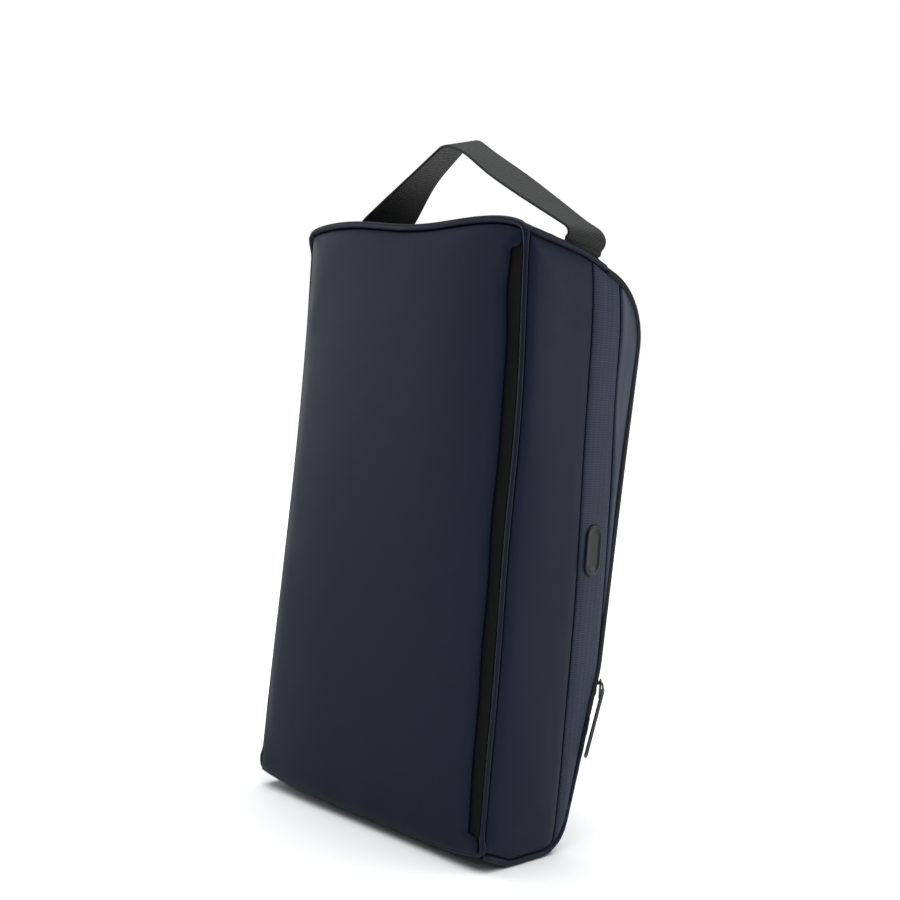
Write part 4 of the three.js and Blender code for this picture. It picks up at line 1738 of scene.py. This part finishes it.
@dataclass
class Slider:
    """The zip's slider, which straddles the chain on the right edge, and its looped pull."""

    walls: Surfaces
    width: float = 6.4
    length: float = 12.0
    height: float = 3.4
    bevel: float = 0.25
    tail: float = 0.82
    flare: float = 0.18
    upper_plate: float = 1.1
    lower_plate: float = 0.8
    lower_scale: float = 0.6
    post_height: float = 3.6
    post_radius: float = 1.3
    bail_rise: float = 1.5
    bail_half: float = 4.0
    bail_tuck: float = 0.15
    bail_radius: float = 0.6
    sink: float = 2.1
    hook: float = 1.4
    wire: float = 0.6
    pull_width: float = 4.2
    pull_length: float = 41.0
    pull_down: tuple = (1.4, -13.4, -38.0)
    pull_face: tuple = (0.93, 0.36, 0.0)

    def place(self, local: Array, origin: Array) -> Array:
        """Turns points from (across, outward, up) to the frame, facing out diagonally."""
        slant = math.sqrt(0.5)
        across = np.array([slant, -slant, 0])
        outward = np.array([slant, slant, 0])
        up = np.array([0, 0, 1.0])
        return origin + local[:, :1] * across + local[:, 1:2] * outward + local[:, 2:] * up

    def plate(self, name: str, low: float, high: float, scale: float, origin: Array) -> bpy.types.Object:
        """Makes one plate of the slider, wide at its upper mouth and narrow at its tail.

        Args:
            name: The part's name.
            low: Its lower face, measured outwards.
            high: Its upper face.
            scale: Its size as a share of the slider's.
            origin: The slider's middle.

        Returns:
            The plate.
        """
        angle = np.linspace(0, 2 * math.pi, 32, endpoint=False)
        c, s = np.cos(angle), np.sin(angle)
        x = np.sign(c) * np.abs(c) ** 0.7 * self.width / 2 * scale
        z = np.sign(s) * np.abs(s) ** 0.6 * self.length / 2 * scale
        x = x * (self.tail + self.flare * smooth(z, -self.length / 2, self.length / 3))
        rings = []
        for y, shrink in ((low, 0.9), (low + self.bevel, 1.0), (high - self.bevel, 1.0), (high, 0.88)):
            rings.append(np.stack([x * shrink, np.full_like(x, y), z * (1 - (1 - shrink) / 2)], -1))
        points = self.place(np.vstack(rings), origin)
        count = len(angle)
        faces = [(r * count + j, r * count + (j + 1) % count, (r + 1) * count + (j + 1) % count,
                  (r + 1) * count + j) for r in range(len(rings) - 1) for j in range(count)]
        faces.append(tuple(reversed(range(count))))
        faces.append(tuple((len(rings) - 1) * count + j for j in range(count)))
        return make_mesh(name, points, faces)

    def build(self) -> None:
        """Makes and dresses the slider and its pull."""
        low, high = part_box("zip_slider")
        origin = np.array((low + high) / 2) / MM - self.sink * np.array([1, 1, 0]) * math.sqrt(0.5)
        half = self.height / 2
        parts = [
            self.plate("slider_top", half - self.upper_plate, half, 1.0, origin),
            self.plate("slider_bottom", -half, -half + self.lower_plate, self.lower_scale, origin),
        ]
        post = np.array([(0.0, y, self.post_height) for y in np.linspace(-half + 0.4, half - 0.6, 6)])
        parts.append(tube("slider_post", self.place(post, origin), self.post_radius, (0, 0, 1)))
        angle = np.linspace(-self.bail_tuck, math.pi + self.bail_tuck, 15)
        out = half - 0.3 + self.bail_rise * np.sin(angle)
        bail = np.stack([np.zeros_like(angle), out, self.bail_half * np.cos(angle)], -1)
        parts.append(tube("slider_bail", self.place(bail, origin), self.bail_radius, (1, -1, 0),
                          flatten=1.7))
        piece = join("zip_slider", parts)
        dress(piece, PAINTED_ZINC, "slider", ["zip_slider"])
        self.pull()

    def pull(self) -> None:
        """Makes the pull: a long narrow loop of wire that lies back against the side."""
        joint = next(j for j in frame["joints"] if j["name"] == "pull_swing")
        origin = np.array(joint["pos_m"]) / MM - self.hook * np.array([1, 1, 0]) * math.sqrt(0.5)
        down = unit(np.array(self.pull_down))
        across = unit(np.cross(np.array(self.pull_face), down))
        half = self.pull_width / 2 - self.wire
        turn = np.linspace(0, math.pi, 13)
        low = self.pull_length - self.wire - half
        foot = np.stack([half * np.cos(turn), low + half * np.sin(turn)], -1)
        head = np.stack([-half * np.cos(turn), half - half * np.sin(turn)], -1)
        ring = np.vstack([foot, head])
        ring = evenly(np.vstack([ring, ring[:1]]), 150)[:-1]
        path = origin + ring[:, :1] * across + ring[:, 1:] * down
        piece = tube("zip_pull", path, self.wire, np.cross(across, down), closed=True, flatten=1.2)
        dress(piece, PAINTED_ZINC, "pull", ["zip_pull"])


@dataclass
class Badge:
    """A plain round-ended rubber badge with a raised rim, on the right ripstop strip."""

    walls: Surfaces
    thickness: float = 1.3
    rim: float = 1.5
    face_inset: float = 0.8
    sunk: float = 0.6
    columns: int = 64

    def build(self) -> None:
        """Makes and dresses the badge, following the cloth under it."""
        low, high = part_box("badge")
        middle = np.array([(low.y + high.y) / 2, (low.z + high.z) / 2]) / MM
        half = np.array([high.y - low.y, high.z - low.z]) / MM / 2
        reach = half[1] - half[0]
        angle = np.linspace(0, 2 * math.pi, self.columns, endpoint=False)
        shape = np.stack([np.cos(angle), np.sin(angle)], -1)
        shift = np.sign(np.round(shape[:, 1], 6)) * reach

        def ring(radius: float, lift: float) -> Array:
            """One ring of the badge at a radius and a lift above the cloth."""
            apart = shift * (radius / half[0]) ** 0.4
            place = middle + shape * radius + np.stack([np.zeros_like(shift), apart], -1)
            face = self.walls.pattern.half_width - self.face_inset - self.sunk
            return self.walls.side(1, place, face) + np.array([lift, 0, 0])

        steps = ((half[0], 0.0), (half[0], self.thickness * 0.6), (half[0] - 0.25, self.thickness * 0.92),
                 (half[0] - 0.7, self.thickness), (half[0] - self.rim, self.thickness * 0.95),
                 (half[0] - self.rim - 0.35, self.thickness * 0.6), (half[0] * 0.4, self.thickness * 0.62),
                 (half[0] * 0.12, self.thickness * 0.66))
        rings = [ring(radius, lift + self.sunk) for radius, lift in steps]
        rings = [ring(half[0], 0.0)] + rings
        count = self.columns
        points = np.vstack(rings + [rings[-1].mean(0)[None], rings[0].mean(0)[None]])
        faces = [(r * count + j, (r + 1) * count + j, (r + 1) * count + (j + 1) % count,
                  r * count + (j + 1) % count) for r in range(len(rings) - 1) for j in range(count)]
        last = (len(rings) - 1) * count
        top, bottom = len(points) - 2, len(points) - 1
        faces += [(last + j, top, last + (j + 1) % count) for j in range(count)]
        faces += [((j + 1) % count, bottom, j) for j in range(count)]
        piece = make_mesh("badge", points, faces)
        dress(piece, MOULDED_RUBBER, "shell", ["badge"])


@dataclass
class Handle:
    """The webbing handle: one strap whose feet are caught under the side seams."""

    thickness: float = 1.7
    width: float = 31.0
    peak: float = -10.0
    slope: float = 0.8
    samples: int = 90
    bend_depth: float = -2.5
    bend_heights: Span = (352, 378)
    near_left: tuple = ((-86, -17, 336), (-88, -18, 349), (-80, -18.5, 361.5), (-65, -18, 372.5),
                        (-34, -17, 392.5), (-12, -17, 406.3))
    near_right: tuple = ((-7, -17, 406.6), (8, -17, 401.3), (29, -17.5, 388.5), (52, -18, 376.5),
                         (85, -18, 360.5), (93.5, -18, 356), (95, -18, 351), (89, -18, 346.5), (81, -18, 342))
    far_left: tuple = ((-84, 14, 328), (-85, 13.5, 340), (-73, 12, 352), (-60, 11, 366), (-45, 11, 388),
                       (-29, 11, 402.5), (-14.5, 11.5, 414.2))
    far_right: tuple = ((-9, 12, 414.4), (8, 12, 404.5), (35, 12, 390), (61.5, 12, 374.5),
                        (81.5, 12, 362.5), (93, 12, 356.5), (97, 12.5, 350.5), (95, 12.5, 345.5),
                        (89, 12.5, 341), (82, 12.5, 336))

    def rail(self, left: tuple, right: tuple) -> Array:
        """One edge of the strap, from the left foot over the top to the right foot.

        Args:
            left: Points of its left leg.
            right: Points of its right leg.

        Returns:
            Its points, as many on each leg.
        """
        line = np.vstack([spline(left, self.samples), spline(right, self.samples)])
        for _ in range(3):
            line[1:-1] = (line[:-2] + 2 * line[1:-1] + line[2:]) / 4
        return line

    def build(self) -> None:
        """Makes and dresses the strap."""
        near, far = self.rail(self.near_left, self.near_right), self.rail(self.far_left, self.far_right)
        cloth = Cloth(self.thickness, roll=0.8, pull=0.0)
        share = cloth.stations(self.width)
        outer = near[:, None] * (1 - share)[None, :, None] + far[:, None] * share[None, :, None]
        x = outer[..., 0]
        outward = np.stack([np.sign(x - self.peak), np.zeros_like(x), np.full_like(x, self.slope)], -1)
        piece = cloth.make("handle_strap", outer, outward)
        names = ["handle_strap", "handle_end_right", "handle_end_left"]
        low, high = (Vector((0, self.bend_depth, z)) * MM for z in self.bend_heights)
        dress(piece, WEBBING_POLYPROPYLENE, ("shell", "handle"), names, (low, high))


# Studio

@dataclass(frozen=True)
class Studio:
    """A pale floor, soft light and the camera."""

    azimuth: float = 45.3
    elevation: float = 3.5
    roll: float = 3.96
    distance: float = 0.8365
    aim_height: float = 0.1761
    aim_right: float = 0.0008
    aim_up: float = 0.0481
    lens: float = 54.8
    key_place: tuple = (-2.8, -0.7, 0.8)
    key_size: float = 1.4
    key_power: float = 34
    rim_place: tuple = (2.0, 2.2, 0.8)
    rim_size: float = 1.2
    rim_power: float = 26
    sky_colour: tuple = (0.95, 0.97, 1, 1)
    sky_strength: float = 0.26
    floor_half: float = 6000.0
    floor_cells: int = 24
    overhead_power: float = 3.6
    overhead_spread: float = 80.0

    def build(self) -> None:
        """Makes the camera, the lights, the world and the floor."""
        self.camera()
        self.light("key", self.key_place, self.key_size, self.key_power)
        self.light("rim", self.rim_place, self.rim_size, self.rim_power)
        self.overhead()
        self.world()
        self.floor()
        bpy.context.scene.view_settings.view_transform = "Standard"

    def camera(self) -> None:
        """Makes the camera at the bag's usual three-quarter view, level but for a slight roll."""
        az, el, roll = (math.radians(v) for v in (self.azimuth, self.elevation, self.roll))
        back = Vector((math.sin(az) * math.cos(el), -math.cos(az) * math.cos(el), math.sin(el)))
        right = Vector((0, 0, 1)).cross(back).normalized()
        up = back.cross(right)
        level = right
        right = level * math.cos(roll) + up * math.sin(roll)
        up = up * math.cos(roll) - level * math.sin(roll)
        place = (Vector((0, 0, self.aim_height)) + back * self.distance
                 + right * self.aim_right + up * self.aim_up)
        turn = Matrix((right, up, back)).transposed().to_4x4()
        data = bpy.data.cameras.new("camera")
        data.lens = self.lens
        camera = bpy.data.objects.new("camera", data)
        camera.matrix_world = Matrix.Translation(place) @ turn
        bpy.context.scene.collection.objects.link(camera)
        bpy.context.scene.camera = camera

    def light(self, name: str, place: tuple, size: float, power: float) -> None:
        """Makes a square soft light that faces the bag.

        Args:
            name: The light's name.
            place: Where it hangs, in metres.
            size: The length of its sides.
            power: Its power in watts.
        """
        data = bpy.data.lights.new(name, "AREA")
        data.size = size
        data.energy = power
        lamp = bpy.data.objects.new(name, data)
        aim = Vector((0, 0, self.aim_height)) - Vector(place)
        lamp.matrix_world = Matrix.Translation(place) @ aim.to_track_quat("-Z", "Y").to_matrix().to_4x4()
        bpy.context.scene.collection.objects.link(lamp)

    def overhead(self) -> None:
        """Makes the wide even light above, which keeps the floor white."""
        data = bpy.data.lights.new("overhead", "SUN")
        data.energy = self.overhead_power
        data.angle = math.radians(self.overhead_spread)
        lamp = bpy.data.objects.new("overhead", data)
        bpy.context.scene.collection.objects.link(lamp)

    def world(self) -> None:
        """Makes the surroundings: white to look at, and softer as a source of light."""
        world = bpy.data.worlds.new("studio")
        world.use_nodes = True
        tree = world.node_tree
        tree.nodes.clear()
        seen = add_node(tree, "ShaderNodeLightPath").outputs["Is Camera Ray"]
        white = add_node(tree, "ShaderNodeBackground", None, {"Color": (1, 1, 1, 1), "Strength": 1.0})
        soft = add_node(tree, "ShaderNodeBackground", None,
                        {"Color": self.sky_colour, "Strength": self.sky_strength})
        mix = add_node(tree, "ShaderNodeMixShader", None,
                       {0: seen, 1: soft.outputs[0], 2: white.outputs[0]})
        add_node(tree, "ShaderNodeOutputWorld", None, {"Surface": mix.outputs[0]})
        bpy.context.scene.world = world

    def floor(self) -> None:
        """Makes a wide pale floor under the bag."""
        count = self.floor_cells + 1
        place = np.linspace(-self.floor_half, self.floor_half, count)
        x, y = np.meshgrid(place, place, indexing="ij")
        points = np.stack([x, y, np.zeros_like(x)], -1).reshape(-1, 3)
        mesh = bpy.data.meshes.new("floor")
        faces = [tuple(reversed(face)) for face in grid_faces(count, count, False)]
        mesh.from_pydata((points * MM).tolist(), [], faces)
        if mesh.polygons[0].normal.z < 0:
            mesh.flip_normals()
        floor = bpy.data.objects.new("floor", mesh)
        bpy.context.scene.collection.objects.link(floor)
        mesh.materials.append(BACKGROUND_PAPER.material())


def dress_hidden_nodes() -> None:
    """Gives every node of the frame a finish, so that none is left plain."""
    for name, node in frame["nodes"].items():
        node.data.materials.clear()
        node.data.materials.append(MOULDED_RUBBER.material())
        if not node.hide_render:
            log.warning("node %s is still shown", name)


def write_sizes() -> None:
    """Brings the view layer up to date; no sizes are written."""
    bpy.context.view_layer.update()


def main() -> None:
    """Builds the bag around the frame, piece by piece."""
    Studio().build()
    walls = Surfaces(Pattern.from_frame())
    rows = Row()
    Base(walls).build()
    for hand in (1, -1):
        Side(walls, hand).build()
    Ends(walls).build()
    flap = Flap(walls)
    flap.build()
    chain = Zip(walls, rows, flap)
    chain.build()
    Stitching(walls, rows, chain).build()
    Slider(walls).build()
    Badge(walls).build()
    Handle().build()
    dress_hidden_nodes()
    write_sizes()


if __name__ == "__main__":
    main()
